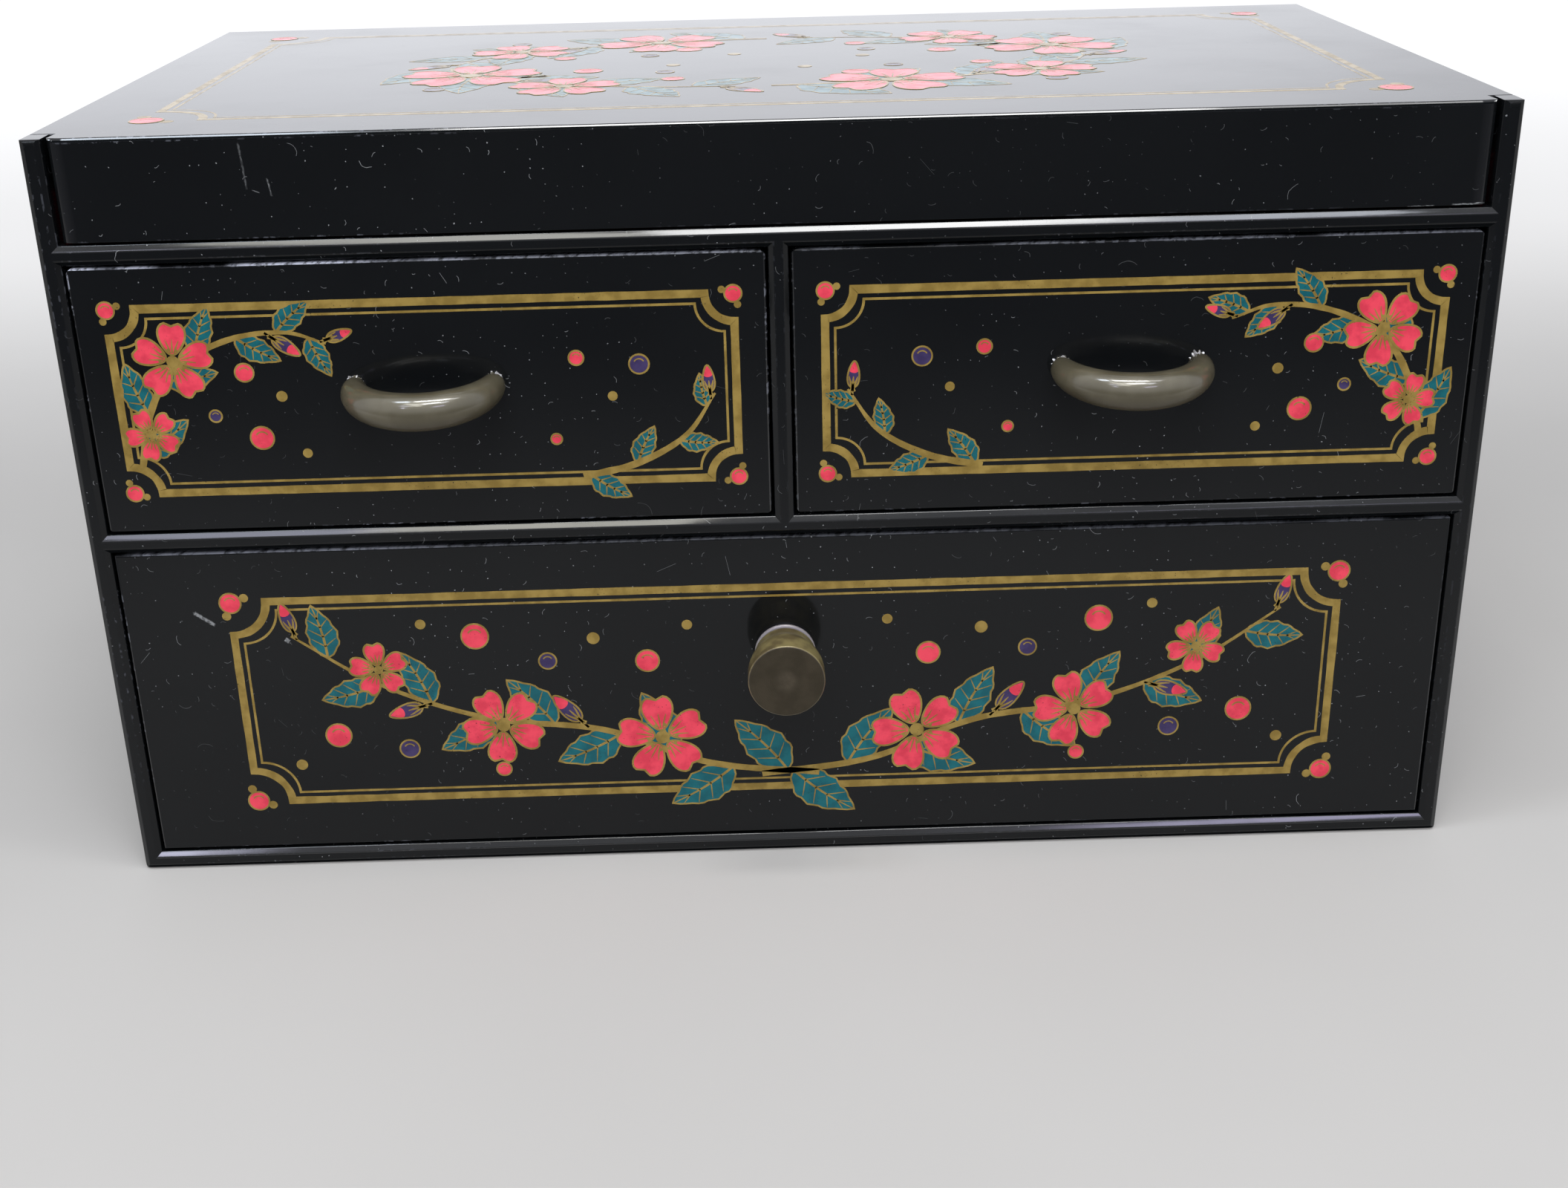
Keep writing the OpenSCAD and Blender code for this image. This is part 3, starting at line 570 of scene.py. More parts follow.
def outer_corner(edge):
    """True for long edges along the case's front ridges or its outer faces."""
    middle = (edge.verts[0].co + edge.verts[1].co) / 2
    return long_corner(edge) and (middle.y < RIDGE_Y + 2 * MM or abs(middle.x) > CASE_X - WELD)


CASE_ROUNDING = 0.16 * MM
CASE_WEAR = 0.06
PANEL_ROUNDING = 0.3 * MM
DRAWER_ROUNDING = 0.5 * MM
BOTTOM_ROUNDING = 0.2 * MM
PIN_ROUNDING = 0.15 * MM
TIP_R = 0.8 * MM
TIP_CUTS = 6


def cut_across(bm, faces, place, facing):
    """Adds edges where a plane through place crosses the faces."""
    parts = {*faces, *(e for f in faces for e in f.edges), *(v for f in faces for v in f.verts)}
    bmesh.ops.bisect_plane(bm, geom=list(parts), plane_co=place, plane_no=facing)


def round_tip(bm):
    """Rounds an upright's top over at the front."""
    top, front = max(v.co.z for v in bm.verts), min(v.co.y for v in bm.verts)
    root = top - 2 * TIP_R
    cut_across(bm, bm.faces, (0, 0, root), (0, 0, 1))
    for step in range(1, TIP_CUTS + 1):
        upper = [f for f in bm.faces if f.calc_center_median().z > root]
        cut_across(bm, upper, (0, front + TIP_R * (step / TIP_CUTS) ** 1.5, 0), (0, 1, 0))
    for vert in bm.verts:
        if vert.co.z > root:
            drop = TIP_R * (1 - quarter_round(vert.co.y - front, TIP_R))
            vert.co.z -= drop * (vert.co.z - root) / (top - root)


for name in ("side_left", "side_right"):
    rounded_copy(name, CASE_ROUNDING, LACQUER, outer_corner, wear=CASE_WEAR, shape=round_tip)
for name in ("base_panel", "middle_shelf", "upper_shelf", "drawer_divider"):
    rounded_copy(name, CASE_ROUNDING, LACQUER, outer_corner, wear=CASE_WEAR)
for name in ("back_panel", "lid_rear_rim", "mirror_frame"):
    rounded_copy(name, PANEL_ROUNDING, LACQUER, long_corner, wear=0.5, bores=name != "mirror_frame")

LID_SEAM = (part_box("lid_top")[0].y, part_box("lid_fascia")[1].z)


def off_seam(edge):
    """True for long edges away from the mitre where the lid's top and fascia meet in one edge."""
    on_seam = all(abs(v.co.y - LID_SEAM[0]) < WELD and abs(v.co.z - LID_SEAM[1]) < WELD for v in edge.verts)
    return long_corner(edge) and not on_seam


LID_ROUNDING = 0.22 * MM
LID_CORNER_R = 1.1 * MM
LID_EASE = 2.6 * MM
EASE_DEPTH = 3 * MM
EASE_SHINE = 1.8
EASE_CUTS = 10


def corner_dip(inset, reach):
    """How far back a corner that turns within reach lies at inset from its end."""
    return LID_CORNER_R * (1 - quarter_round(inset, reach))


def ease_lid_front(bm):
    """Broadens the round upright corners of the lid's front, so that they turn more softly."""
    low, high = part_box("lid_fascia")
    for side in (-1, 1):
        for step in range(EASE_CUTS):
            x = side * (high.x - LID_EASE * (1 - step / EASE_CUTS) ** 1.5)
            cut_across(bm, bm.faces, (x, 0, 0), (1, 0, 0))
    for vert in bm.verts:
        inset = high.x - abs(vert.co.x)
        if 0 <= inset < LID_EASE:
            back = min(1.0, max(0.0, (low.y + EASE_DEPTH - vert.co.y) / (EASE_DEPTH - LID_CORNER_R)))
            vert.co.y += back * (corner_dip(inset, LID_EASE) - corner_dip(inset, LID_CORNER_R))
    bm.normal_update()
    shiny = bm.loops.layers.float["shine"]
    for face in bm.faces:
        if face.normal.y < -0.2 and abs(face.normal.z) < 0.1:
            for corner in face.loops:
                inset = high.x - abs(corner.vert.co.x)
                corner[shiny] = min(1.0, max(0.0, EASE_SHINE * (1 - inset / LID_EASE)))


rounded_copy("lid_top", LID_ROUNDING, LACQUER, off_seam, wear=0.3, shape=ease_lid_front)
rounded_copy("lid_fascia", LID_ROUNDING, FRONT_LACQUER, off_seam, wear=0.1, shape=ease_lid_front)

FRONT_WEAR = {"left_drawer": 1.0, "right_drawer": 0.60, "lower_drawer": 0.28}
for drawer in DRAWERS:
    wear = FRONT_WEAR[drawer]
    rounded_copy(drawer + "_front", 0, FRONT_LACQUER, wear=0.5 * wear, rub=wear)
    for board in ("side_left", "side_right", "back"):
        rounded_copy(f"{drawer}_{board}", DRAWER_ROUNDING, SATIN, long_corner)
    rounded_copy(drawer + "_bottom", BOTTOM_ROUNDING, SATIN)

frame["nodes"]["lid_mirror"].data.materials.clear()
frame["nodes"]["lid_mirror"].data.materials.append(MIRROR)


# Arch pulls

PULL_SPAN = 22.2 * MM
PULL_OUT = 11 * MM
PULL_DROP = 1.15 * MM
PULL_END_R = 1.5 * MM
PULL_MID_R = 3 * MM
STUD_R = 1.1 * MM
STUD_EASE = 0.3 * MM
BOW_STEPS = 96
BOW_SIDES = 40
BURR_W = 0.50 * MM
BURR_H = 0.70 * MM
BURR_OVERLAP = 0.12 * MM
BURR_SINK = 0.05 * MM
NUT_ROUNDING = 0.2 * MM
NUT_EDGE = 1.0 * MM


def bow_ring(bm, foot, angle):
    """Ring of points round the bow, square to its centre line."""
    c, s = math.cos(angle), math.sin(angle)
    centre = foot + Vector((PULL_SPAN / 2 * c, -PULL_OUT * s, -PULL_DROP * s))
    heading = Vector((-PULL_SPAN / 2 * s, -PULL_OUT * c, -PULL_DROP * c)).normalized()
    out = heading.cross(Vector((0, 0, 1))).normalized()
    up = out.cross(heading)
    radius = PULL_END_R + (PULL_MID_R - PULL_END_R) * math.sqrt(abs(s))
    return [bm.verts.new(centre + radius * (math.cos(t) * out + math.sin(t) * up))
            for t in circle(BOW_SIDES)]


def burr(bm, foot):
    """Ragged collar of bare metal and chipped lacquer where a leg enters the front; its pale colour is partly
    a painted glint.
    """
    sides, levels = 64, 8
    rings = []
    for i in range(levels):
        turn = math.pi * i / (levels - 1)
        ring = []
        for k, a in enumerate(circle(sides)):
            above = max(0.0, math.sin(a + 0.5 * fine_noise((foot.x / MM, 3, 0), 1.0)))
            ragged = 0.9 + 1.6 * fine_noise((k * 0.43, foot.x / MM, 0), 1.0)
            breadth = BURR_W * max(0.10, ragged * above)
            height = BURR_H * max(0.08, above * (0.8 + 1.5 * fine_noise((k * 0.33, foot.x / MM, 5), 1.0)))
            r = PULL_END_R - BURR_OVERLAP + breadth * (0.5 - 0.5 * math.cos(turn))
            y = BURR_SINK - height * math.sin(turn)
            ring.append(bm.verts.new(foot + Vector((r * math.cos(a), y, r * math.sin(a)))))
        rings.append(ring)
    return tube(bm, rings, closed=True)


def long_nut_edge(edge):
    return edge.calc_length() > NUT_EDGE


def make_pull(drawer):
    """The drawer's arched pull, with ragged feet and studs, and its nuts."""
    side = drawer.split("_")[0]
    node = side + "_pull"
    low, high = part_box(node)
    nuts_low, nuts_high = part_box(node + "_nuts")
    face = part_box(drawer + "_front")[0].y
    foot = Vector(((low.x + high.x) / 2, face, (nuts_low.z + nuts_high.z) / 2))
    bm = bmesh.new()
    mark = bm.faces.layers.float.new("edge")
    tube(bm, [bow_ring(bm, foot, math.pi * i / BOW_STEPS) for i in range(BOW_STEPS + 1)])
    # The bow's ends by the front are marked pale, for bare metal and for painted glints
    bare_and_glint_reach = 0.9 * MM
    for f in bm.faces:
        f[mark] = max(0.0, 1 - (face - f.calc_center_median().y) / bare_and_glint_reach)
    legs = [foot + Vector((end * PULL_SPAN / 2, 0, 0)) for end in (-1, 1)]
    # The collars are marked pale all over, for bare metal and for painted glints
    for leg in legs:
        for f in burr(bm, leg):
            f[mark] = 1.0
    stud_l = high.y - face
    profile = [(0, 0), (STUD_R, 0), (STUD_R, STUD_EASE - stud_l), (STUD_R - STUD_EASE, -stud_l), (0, -stud_l)]
    for leg in legs:
        revolve(bm, profile, leg, 32)
    add_outward(node + "_cast", bm, drawer, BRONZE, [node])
    rounded_copy(node + "_nuts", NUT_ROUNDING, BRASS, long_nut_edge)


for drawer in UPPER_DRAWERS:
    make_pull(drawer)


# Knob

KNOB_DISH = 0.06 * MM


def make_knob():
    """A beaded foot, a flaring neck and a broad rim with a slightly hollow face."""
    low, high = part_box("knob")
    origin = Vector(((low.x + high.x) / 2, high.y, (low.z + high.z) / 2))
    face_r = (high.x - low.x) / 2
    length = high.y - low.y
    base_r = 5.2 * MM
    neck = 2 * MM
    rim = 3.2 * MM
    bead = 0.45 * MM
    edge_r = 0.4 * MM
    beaded = arc((base_r - bead, bead), bead, -90, 90, 10)
    flare_l = length - neck - rim
    flare = [(base_r + (face_r - base_r) * (1 - math.cos(math.pi * i / 24)) / 2, neck + flare_l * i / 24)
             for i in range(25)]
    lip = arc((face_r - edge_r, length - edge_r), edge_r, 0, 90, 8)
    dish = [(face_r * t, length - KNOB_DISH * (1 - t * t)) for t in (0.9, 0.75, 0.6, 0.45, 0.3, 0.15, 0.05)]
    profile = [(0, 0)] + beaded + flare + lip + dish + [(0, length - KNOB_DISH)]
    bm = bmesh.new()
    mark = bm.faces.layers.float.new("edge")
    revolve(bm, profile, origin)
    bmesh.ops.recalc_face_normals(bm, faces=bm.faces)
    # The bead, and faintly the lip, are marked for a pale painted reflection
    for f in bm.faces:
        place = f.calc_center_median()
        at_bead = origin.y - place.y < 2 * bead
        at_lip = 0.3 < -f.normal.y < 0.9 and origin.y - place.y > length - edge_r
        f[mark] = 0.7 if at_bead else 0.05 if at_lip else 0.0
    add_piece("knob_turned", bm, "lower_drawer", make_turned_bronze(origin), ["knob"])


make_knob()


# Hinges and screws

for side in ("left", "right"):
    for node in (f"hinge_case_leaf_{side}", f"hinge_lid_leaf_{side}"):
        smooth_copy(node, BRASS)
    rounded_copy(f"hinge_pin_{side}", PIN_ROUNDING, BRASS)


def screw_heads(node, heads, head_r, head_h, shank_r):
    """Domed, slotted screws that face +Y: heads lists the places of their seats."""
    bm = bmesh.new()
    low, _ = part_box(node)
    rim_h, slot_w, slot_d = 0.35 * head_h, 0.22 * head_r, 0.5 * head_h
    head = [(shank_r, 0.0), (head_r, 0.0), (head_r, rim_h)]
    head += [(head_r * math.cos(a), rim_h + (head_h - rim_h) * math.sin(a))
             for a in (math.radians(d) for d in (15, 30, 45, 60, 72, 82))]
    for seat in heads:
        rings = []
        for radius, height in [(shank_r, low.y - seat.y)] + head:
            ring = []
            for a in circle(48):
                x, z = radius * math.cos(a), radius * math.sin(a)
                in_slot = height > 0 and abs(x) < slot_w
                y = max(0.0, height - slot_d) if in_slot else height
                ring.append(bm.verts.new(seat + Vector((x, y, z))))
            rings.append(ring)
        tube(bm, rings)
    add_outward(node + "_slotted", bm, BODY_OF[node], BRASS, [node])


SCREW_HEAD_R = 1.4 * MM
SCREW_HEAD_H = 0.6 * MM
SCREW_SHANK_R = 0.7 * MM
for node in ("hinge_case_screws", "hinge_lid_screws"):
    low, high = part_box(node)
    z = (low.z + high.z) / 2
    leaf_low, leaf_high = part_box(node.replace("screws", "leaf_right"))
    outer = high.x - SCREW_HEAD_R
    inner = leaf_low.x + leaf_high.x - outer
    seats = [Vector((x, high.y - SCREW_HEAD_H, z)) for x in (-outer, -inner, inner, outer)]
    screw_heads(node, seats, SCREW_HEAD_R, SCREW_HEAD_H, SCREW_SHANK_R)

low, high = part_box("knob_screw")
KNOB_HEAD_H = 1.8 * MM
KNOB_SHANK_R = 1.5 * MM
seat = Vector(((low.x + high.x) / 2, high.y - KNOB_HEAD_H, (low.z + high.z) / 2))
screw_heads("knob_screw", [seat], (high.x - low.x) / 2, KNOB_HEAD_H, KNOB_SHANK_R)


# Velvet

PAD_RIM = 1.5 * MM
PAD_WAVER = 0.10 * MM
WALL_STEP = 1.6 * MM
WALL_WAVER = 0.05 * MM


def add_velvet(name, bm, body, nodes):
    piece = add_outward(name, bm, body, VELVET, nodes)


def soft_slab(name, body, low, high, crown, nodes, rows=(70, 50)):
    """A thin velvet pad: flat underneath, rounded at the rim and a little uneven on top."""
    bm = bmesh.new()
    across, along = rows
    grid = []
    for j in range(along + 1):
        row = []
        for i in range(across + 1):
            u, v = 2 * i / across - 1, 2 * j / along - 1
            x = low.x + (high.x - low.x) * (u + 1) / 2
            y = low.y + (high.y - low.y) * (v + 1) / 2
            rim = min(x - low.x, high.x - x, y - low.y, high.y - y)
            edge = quarter_round(rim, PAD_RIM)
            dome = crown * (1 - u * u) * (1 - v * v)
            waver = PAD_WAVER * fine_noise((x, y, 0), 14 * MM)
            z = low.z + (high.z - low.z) * (0.35 + 0.65 * edge) + (dome + waver) * edge
            row.append(bm.verts.new((x, y, z)))
        grid.append(row)
    for lower, upper in zip(grid, grid[1:]):
        for i in range(across):
            bm.faces.new((lower[i], lower[i + 1], upper[i + 1], upper[i]))
    rim = grid[0] + [row[-1] for row in grid[1:]] + grid[-1][-2::-1] + [row[0] for row in grid[-2:0:-1]]
    foot = [bm.verts.new((v.co.x, v.co.y, low.z)) for v in rim]
    ring_faces(bm, foot, rim)
    bm.faces.new(foot[::-1])
    add_velvet(name, bm, body, nodes)


LINING_T = 0.8 * MM


def line_drawer(drawer):
    """Velvet over the drawer's floor, and a strip round its sides and back."""
    node = drawer + "_lining"
    low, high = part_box(node)
    gap = 0.05 * MM
    floor_low = Vector((low.x + LINING_T + gap, low.y + gap, low.z))
    floor_high = Vector((high.x - LINING_T - gap, high.y - LINING_T - gap, low.z + LINING_T))
    soft_slab(drawer + "_floor_velvet", drawer, floor_low, floor_high, 0.3 * MM, [node])
    half = LINING_T / 2
    path = [(low.x + half, low.y), (low.x + half, high.y - half), (high.x - half, high.y - half),
            (high.x - half, low.y)]
    lip = [(half * math.cos(a), high.z - half + half * math.sin(a))
           for a in (math.radians(15 * k) for k in range(13))]
    bm = bmesh.new()
    sweep(bm, path, [(-half, low.z), (half, low.z)] + lip, closed=False)
    add_velvet(drawer + "_wall_velvet", bm, drawer, [node])


for drawer in DRAWERS:
    line_drawer(drawer)

tray_low, tray_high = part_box("tray_lining")
soft_slab("tray_floor_velvet", "case", tray_low, tray_high, 0.0, ["tray_lining"], rows=(110, 60))


def soft_wall(node):
    """A tray wall wrapped in velvet: full on top, with a slight waver."""
    low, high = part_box(node)
    lengthwise = high.x - low.x > high.y - low.y
    long_low, long_high = (low.x, high.x) if lengthwise else (low.y, high.y)
    thin_low, thin_high = (low.y, high.y) if lengthwise else (low.x, high.x)
    half = (thin_high - thin_low) / 2
    middle = (thin_low + thin_high) / 2
    steps = int((long_high - long_low) / WALL_STEP)
    bm = bmesh.new()
    rings = []
    for i in range(steps + 1):
        s = long_low + (long_high - long_low) * i / steps
        top = high.z + WALL_WAVER * fine_noise((s, middle, 0), 9 * MM)
        swell = half * (1 + 0.02 * fine_noise((s, middle, 1), 11 * MM))
        profile = [(-half, low.z), (half, low.z), (swell, top - half)]
        profile += arc((0, top - half), swell, 15, 165, 10) + [(-swell, top - half)]
        ring = [(s, middle + o, z) if lengthwise else (middle + o, s, z) for o, z in profile]
        rings.append([bm.verts.new(p) for p in ring])
    tube(bm, rings)
    add_velvet(node + "_wrapped", bm, "case", [node])


for node in ("tray_front_wall", "tray_back_wall", "ring_divider", "tray_divider"):
    soft_wall(node)

ROLL_GAP = 0.5 * MM
ROLL_FLAT = 2 * MM
ROLL_TAPER = 0.9 * MM
ROLL_END = 1.6 * MM
ROLL_PUCKER = 0.10 * MM
ROLL_WAVER = 0.12 * MM


def make_ring_rolls():
    """Stuffed rolls side by side: full in the middle, drawn in and puckered at the ends."""
    low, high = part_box("ring_rolls")
    radius = (high.z - low.z + ROLL_FLAT) / 2
    bay_low, bay_high = tray_low.y, tray_high.y
    count = int((bay_high - bay_low) / (2 * radius + ROLL_GAP))
    pitch = (bay_high - bay_low) / count
    length = high.x - low.x
    steps, sides = 64, 36
    bm = bmesh.new()
    for n in range(count):
        y = bay_low + (n + 0.5) * pitch
        axis_z = high.z - radius
        rings = []
        for i in range(steps + 1):
            s = i / steps
            drawn = radius - ROLL_TAPER * (2 * s - 1) ** 4
            end = min(s, 1 - s) * length
            closing = quarter_round(end, ROLL_END)
            ring = []
            for a in circle(sides):
                pucker = ROLL_PUCKER * math.sin(9 * a + n) * math.exp(-end / (3 * MM))
                waver = ROLL_WAVER * fine_noise((s * length, y, a * radius), 8 * MM)
                r = max(0.25 * radius, drawn * (0.45 + 0.55 * closing)) + (pucker + waver) * closing
                z = max(low.z, axis_z + r * math.sin(a))
                ring.append(bm.verts.new((low.x + s * length, y + r * math.cos(a), z)))
            rings.append(ring)
        tube(bm, rings)
    add_velvet("ring_rolls_stuffed", bm, "case", ["ring_rolls"])


make_ring_rolls()


def make_lid_pad():
    """Padded velvet border round the mirror, on the lid's underside."""
    low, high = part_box("lid_lining")
    frame_low, frame_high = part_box("mirror_frame")
    half = (frame_low.x - low.x) / 2
    x = (high.x + frame_high.x) / 2
    y_low, y_high = low.y + half, high.y - half
    seat, puff = low.z + 0.3 * MM, 0.9 * MM
    profile = [(half, high.z), (-half, high.z)]
    profile += [(-half * math.cos(a), seat - puff * math.sin(a))
                for a in (math.radians(10 * k) for k in range(19))]
    bm = bmesh.new()
    sweep(bm, [(-x, y_low), (x, y_low), (x, y_high), (-x, y_high)], profile, closed=True)
    add_velvet("lid_border_velvet", bm, "lid", ["lid_lining"])


make_lid_pad()


# Printed decoration

SINK = 0.03 * MM
# Height of each layer of ink over the face, in millimetres
FRAME_INK, DOT_INK, LEAF_INK, LEAF_LINE, LEAF_VEIN, TWIG_INK = 0.010, 0.012, 0.020, 0.032, 0.034, 0.036
BERRY_INK, TIP_INK, BERRY_LINE, SEPAL_LINE = 0.040, 0.046, 0.055, 0.057
PETAL_INK, PETAL_LINE, EYE_INK = 0.060, 0.075, 0.080


def smooth_route(points, steps=14):
    """A smooth curve through given points."""
    knots = [Vector(p) for p in points]
    knots = [2 * knots[0] - knots[1]] + knots + [2 * knots[-1] - knots[-2]]
    route = []
    for a, b, c, d in zip(knots, knots[1:], knots[2:], knots[3:]):
        for i in range(steps):
            t = i / steps
            route.append(0.5 * (2 * b + (c - a) * t + (2 * a - 5 * b + 4 * c - d) * t * t
                                + (3 * b - 3 * c + d - a) * t ** 3))
    return route + [knots[-2]]


class Panel:
    """A printed face: place(u, v, lift) gives the point for flat coordinates u and v, in millimetres."""

    def __init__(self, name, body, place):
        self.name = name
        self.body = body
        self.place = place
        self.meshes = {ink: bmesh.new() for ink in INKS}

    def point(self, ink, p, lift):
        return self.meshes[ink].verts.new(self.place(p[0], p[1], lift))

    def shape(self, ink, outline, lift):
        """A filled outline."""
        top, foot = ([self.point(ink, p, z) for p in outline] for z in (lift * MM, -SINK))
        tube(self.meshes[ink], [foot, top])

    def line(self, ink, route, width, lift, closed=False):
        """A stroke along a route; width is a number, or a function of the share of the route."""
        route = [Vector(p) for p in route]
        count = len(route)
        left, right = [], []
        for i, (p, step) in enumerate(zip(route, mitred(route, closed, 0.6))):
            w = width(i / (count - 1)) if callable(width) else width
            w *= 1 + 0.14 * fine_noise((p.x, p.y, lift * 40), 1.7)
            left.append(p + step * (w / 2))
            right.append(p - step * (w / 2))
        bm = self.meshes[ink]
        strips = [[[self.point(ink, p, z) for p in edge] for edge in (left, right)]
                  for z in (lift * MM, -SINK)]
        (top_l, top_r), (foot_l, foot_r) = strips
        for i in range(count if closed else count - 1):
            j = (i + 1) % count
            bm.faces.new((top_l[i], top_r[i], top_r[j], top_l[j]))
            bm.faces.new((foot_l[j], foot_r[j], foot_r[i], foot_l[i]))
            bm.faces.new((top_l[j], foot_l[j], foot_l[i], top_l[i]))
            bm.faces.new((top_r[i], foot_r[i], foot_r[j], top_r[j]))
        if not closed:
            bm.faces.new((top_l[0], foot_l[0], foot_r[0], top_r[0]))
            bm.faces.new((top_r[-1], foot_r[-1], foot_l[-1], top_l[-1]))

    def finish(self):
        """Makes one piece of each ink that was used."""
        for ink, bm in self.meshes.items():
            if not bm.faces:
                bm.free()
                continue
            add_outward(f"{self.name}_{ink}_print", bm, self.body, INKS[ink])


def turned(p, origin, angle):
    """Where point p of a figure lies once the figure is turned by angle and moved to origin."""
    c, s = math.cos(angle), math.sin(angle)
    return (origin[0] + p[0] * c - p[1] * s, origin[1] + p[0] * s + p[1] * c)


def taper(start, end):
    """Stroke width that runs from start to end with a soft swell between."""
    return lambda t: start + (end - start) * t + 0.25 * max(start, end) * math.sin(math.pi * t)


def blossom(panel, centre, size, angle):
    """Five rounded, notched petals round a gold eye."""
    for k in range(5):
        turn = angle + 2 * math.pi * k / 5
        petal = []
        for i in range(30):
            f = 2 * math.pi * i / 30
            rise = 0.5 - 0.5 * math.cos(f)
            a = size * (0.17 + 0.83 * rise - 0.12 * math.exp(-((f - math.pi) / 0.3) ** 2))
            b = size * 0.42 * math.sin(f) * (0.5 + 0.5 * rise)
            petal.append(turned((a, b), centre, turn))
        panel.shape("coral", petal, PETAL_INK)
        panel.line("gold", petal, 0.34, PETAL_LINE, closed=True)
        for fan in (-0.28, 0.0, 0.28):
            vein = [turned((size * r, 0), centre, turn + fan * (0.5 + r)) for r in (0.22, 0.34, 0.46, 0.56)]
            panel.line("gold", vein, taper(0.26, 0.08), PETAL_LINE)
    eye = arc(centre, 0.15 * size, 0, 345, 23)
    panel.shape("gold", eye, EYE_INK)
    for k in range(10):
        tip = turned((0.30 * size, 0), centre, angle + math.pi * (2 * k + 1) / 10)
        panel.shape("gold", arc(tip, 0.040 * size, 0, 330, 11), EYE_INK)


def leaf(panel, root, length, width, angle, bend=0.18):
    """An oval leaf with a pointed tip and gold veins."""
    steps = 16

    def rib(t):
        return (length * t, bend * length * t * t)

    def half_width(t):
        return width / 2 * math.sin(math.pi * t ** 0.8) ** 0.85 * (1 + 0.07 * math.sin(9 * math.pi * t))

    shares = [i / steps for i in range(steps + 1)]
    upper = [turned((rib(t)[0], rib(t)[1] + half_width(t)), root, angle) for t in shares]
    lower = [turned((rib(t)[0], rib(t)[1] - half_width(t)), root, angle) for t in shares[1:-1]]
    outline = upper + lower[::-1]
    panel.shape("teal", outline, LEAF_INK)
    panel.line("gold", outline, 0.30, LEAF_LINE, closed=True)
    panel.line("gold", [turned(rib(t), root, angle) for t in shares], taper(0.42, 0.14), LEAF_VEIN)
    for t in (0.22, 0.40, 0.58, 0.74):
        for side in (-1, 1):
            tip_t = min(1.0, t + 0.15)
            start, tip = Vector(rib(t)), Vector(rib(tip_t)) + Vector((0, side * 0.86 * half_width(tip_t)))
            vein = [turned(start.lerp(tip, r), root, angle) for r in (0, 0.35, 0.7, 1)]
            panel.line("gold", vein, taper(0.20, 0.08), LEAF_VEIN)


def bud(panel, root, length, angle):
    """A closed violet bud in a gold cup, with a coral tip."""
    outline, tip = [], []
    for i in range(24):
        f = 2 * math.pi * i / 24
        rise = 0.5 - 0.5 * math.cos(f)
        a, b = length * rise, 0.27 * length * math.sin(f) * (0.55 + 0.45 * (1 - rise))
        outline.append(turned((a, b), root, angle))
        tip.append(turned((length * (0.55 + 0.42 * rise), 0.62 * b * (1.5 - rise)), root, angle))
    panel.shape("violet", outline, BERRY_INK)
    panel.shape("coral", tip, TIP_INK)
    panel.line("gold", outline, 0.30, BERRY_LINE, closed=True)
    for side in (-1, 0, 1):
        sepal = [turned((length * t, side * 0.16 * length * math.sin(math.pi * t)), root, angle)
                 for t in (-0.15, 0.0, 0.15, 0.3, 0.42)]
        panel.line("gold", sepal, taper(0.45, 0.12), SEPAL_LINE)


def berry(panel, centre, radius, ink):
    """A round berry with a gold rim and a gold glint."""
    outline = arc(centre, radius, 0, 345, 23)
    panel.shape(ink, outline, BERRY_INK)
    if ink != "gold":
        panel.line("gold", outline, 0.28, BERRY_LINE, closed=True)
        panel.line("gold", arc(centre, 0.55 * radius, 30, 150, 6), 0.12 + 0.05 * radius, BERRY_LINE)


def notched_frame(panel, half_w, half_h, notch):
    """A double gold line round the panel with hollow corners, each holding a berry between two dots."""
    outer_w, inner_w, spacing = 1.35, 0.40, 1.6

    def route(inset):
        w, h = half_w - inset, half_h - inset
        corners = ((w, h, 270, 180), (-w, h, 0, -90), (-w, -h, 90, 0), (w, -h, 180, 90))
        path = []
        for x, y, start, end in corners:
            path += arc((x, y), notch, start, end, 14)
        return dense(path)

    panel.line("gold", route(0), outer_w, FRAME_INK, closed=True)
    panel.line("gold", route(spacing), inner_w, FRAME_INK, closed=True)
    for sx in (-1, 1):
        for sy in (-1, 1):
            centre = (sx * (half_w - 0.02 * notch), sy * (half_h - 0.02 * notch))
            berry(panel, centre, 0.30 * notch, "coral")
            inward = math.atan2(-sy * half_h, -sx * half_h)
            for lean in (-2.0, 2.0):
                root = turned((0.42 * notch, 0), centre, inward + math.pi + lean)
                panel.shape("gold", arc(root, 0.13 * notch, 0, 330, 11), DOT_INK)


def dense(path, step=3.0):
    """Adds points along the long stretches of a closed path."""
    full = []
    for a, b in zip(path, path[1:] + path[:1]):
        pieces = max(1, int((Vector(b) - Vector(a)).length / step))
        full += [tuple(Vector(a).lerp(Vector(b), i / pieces)) for i in range(pieces)]
    return full


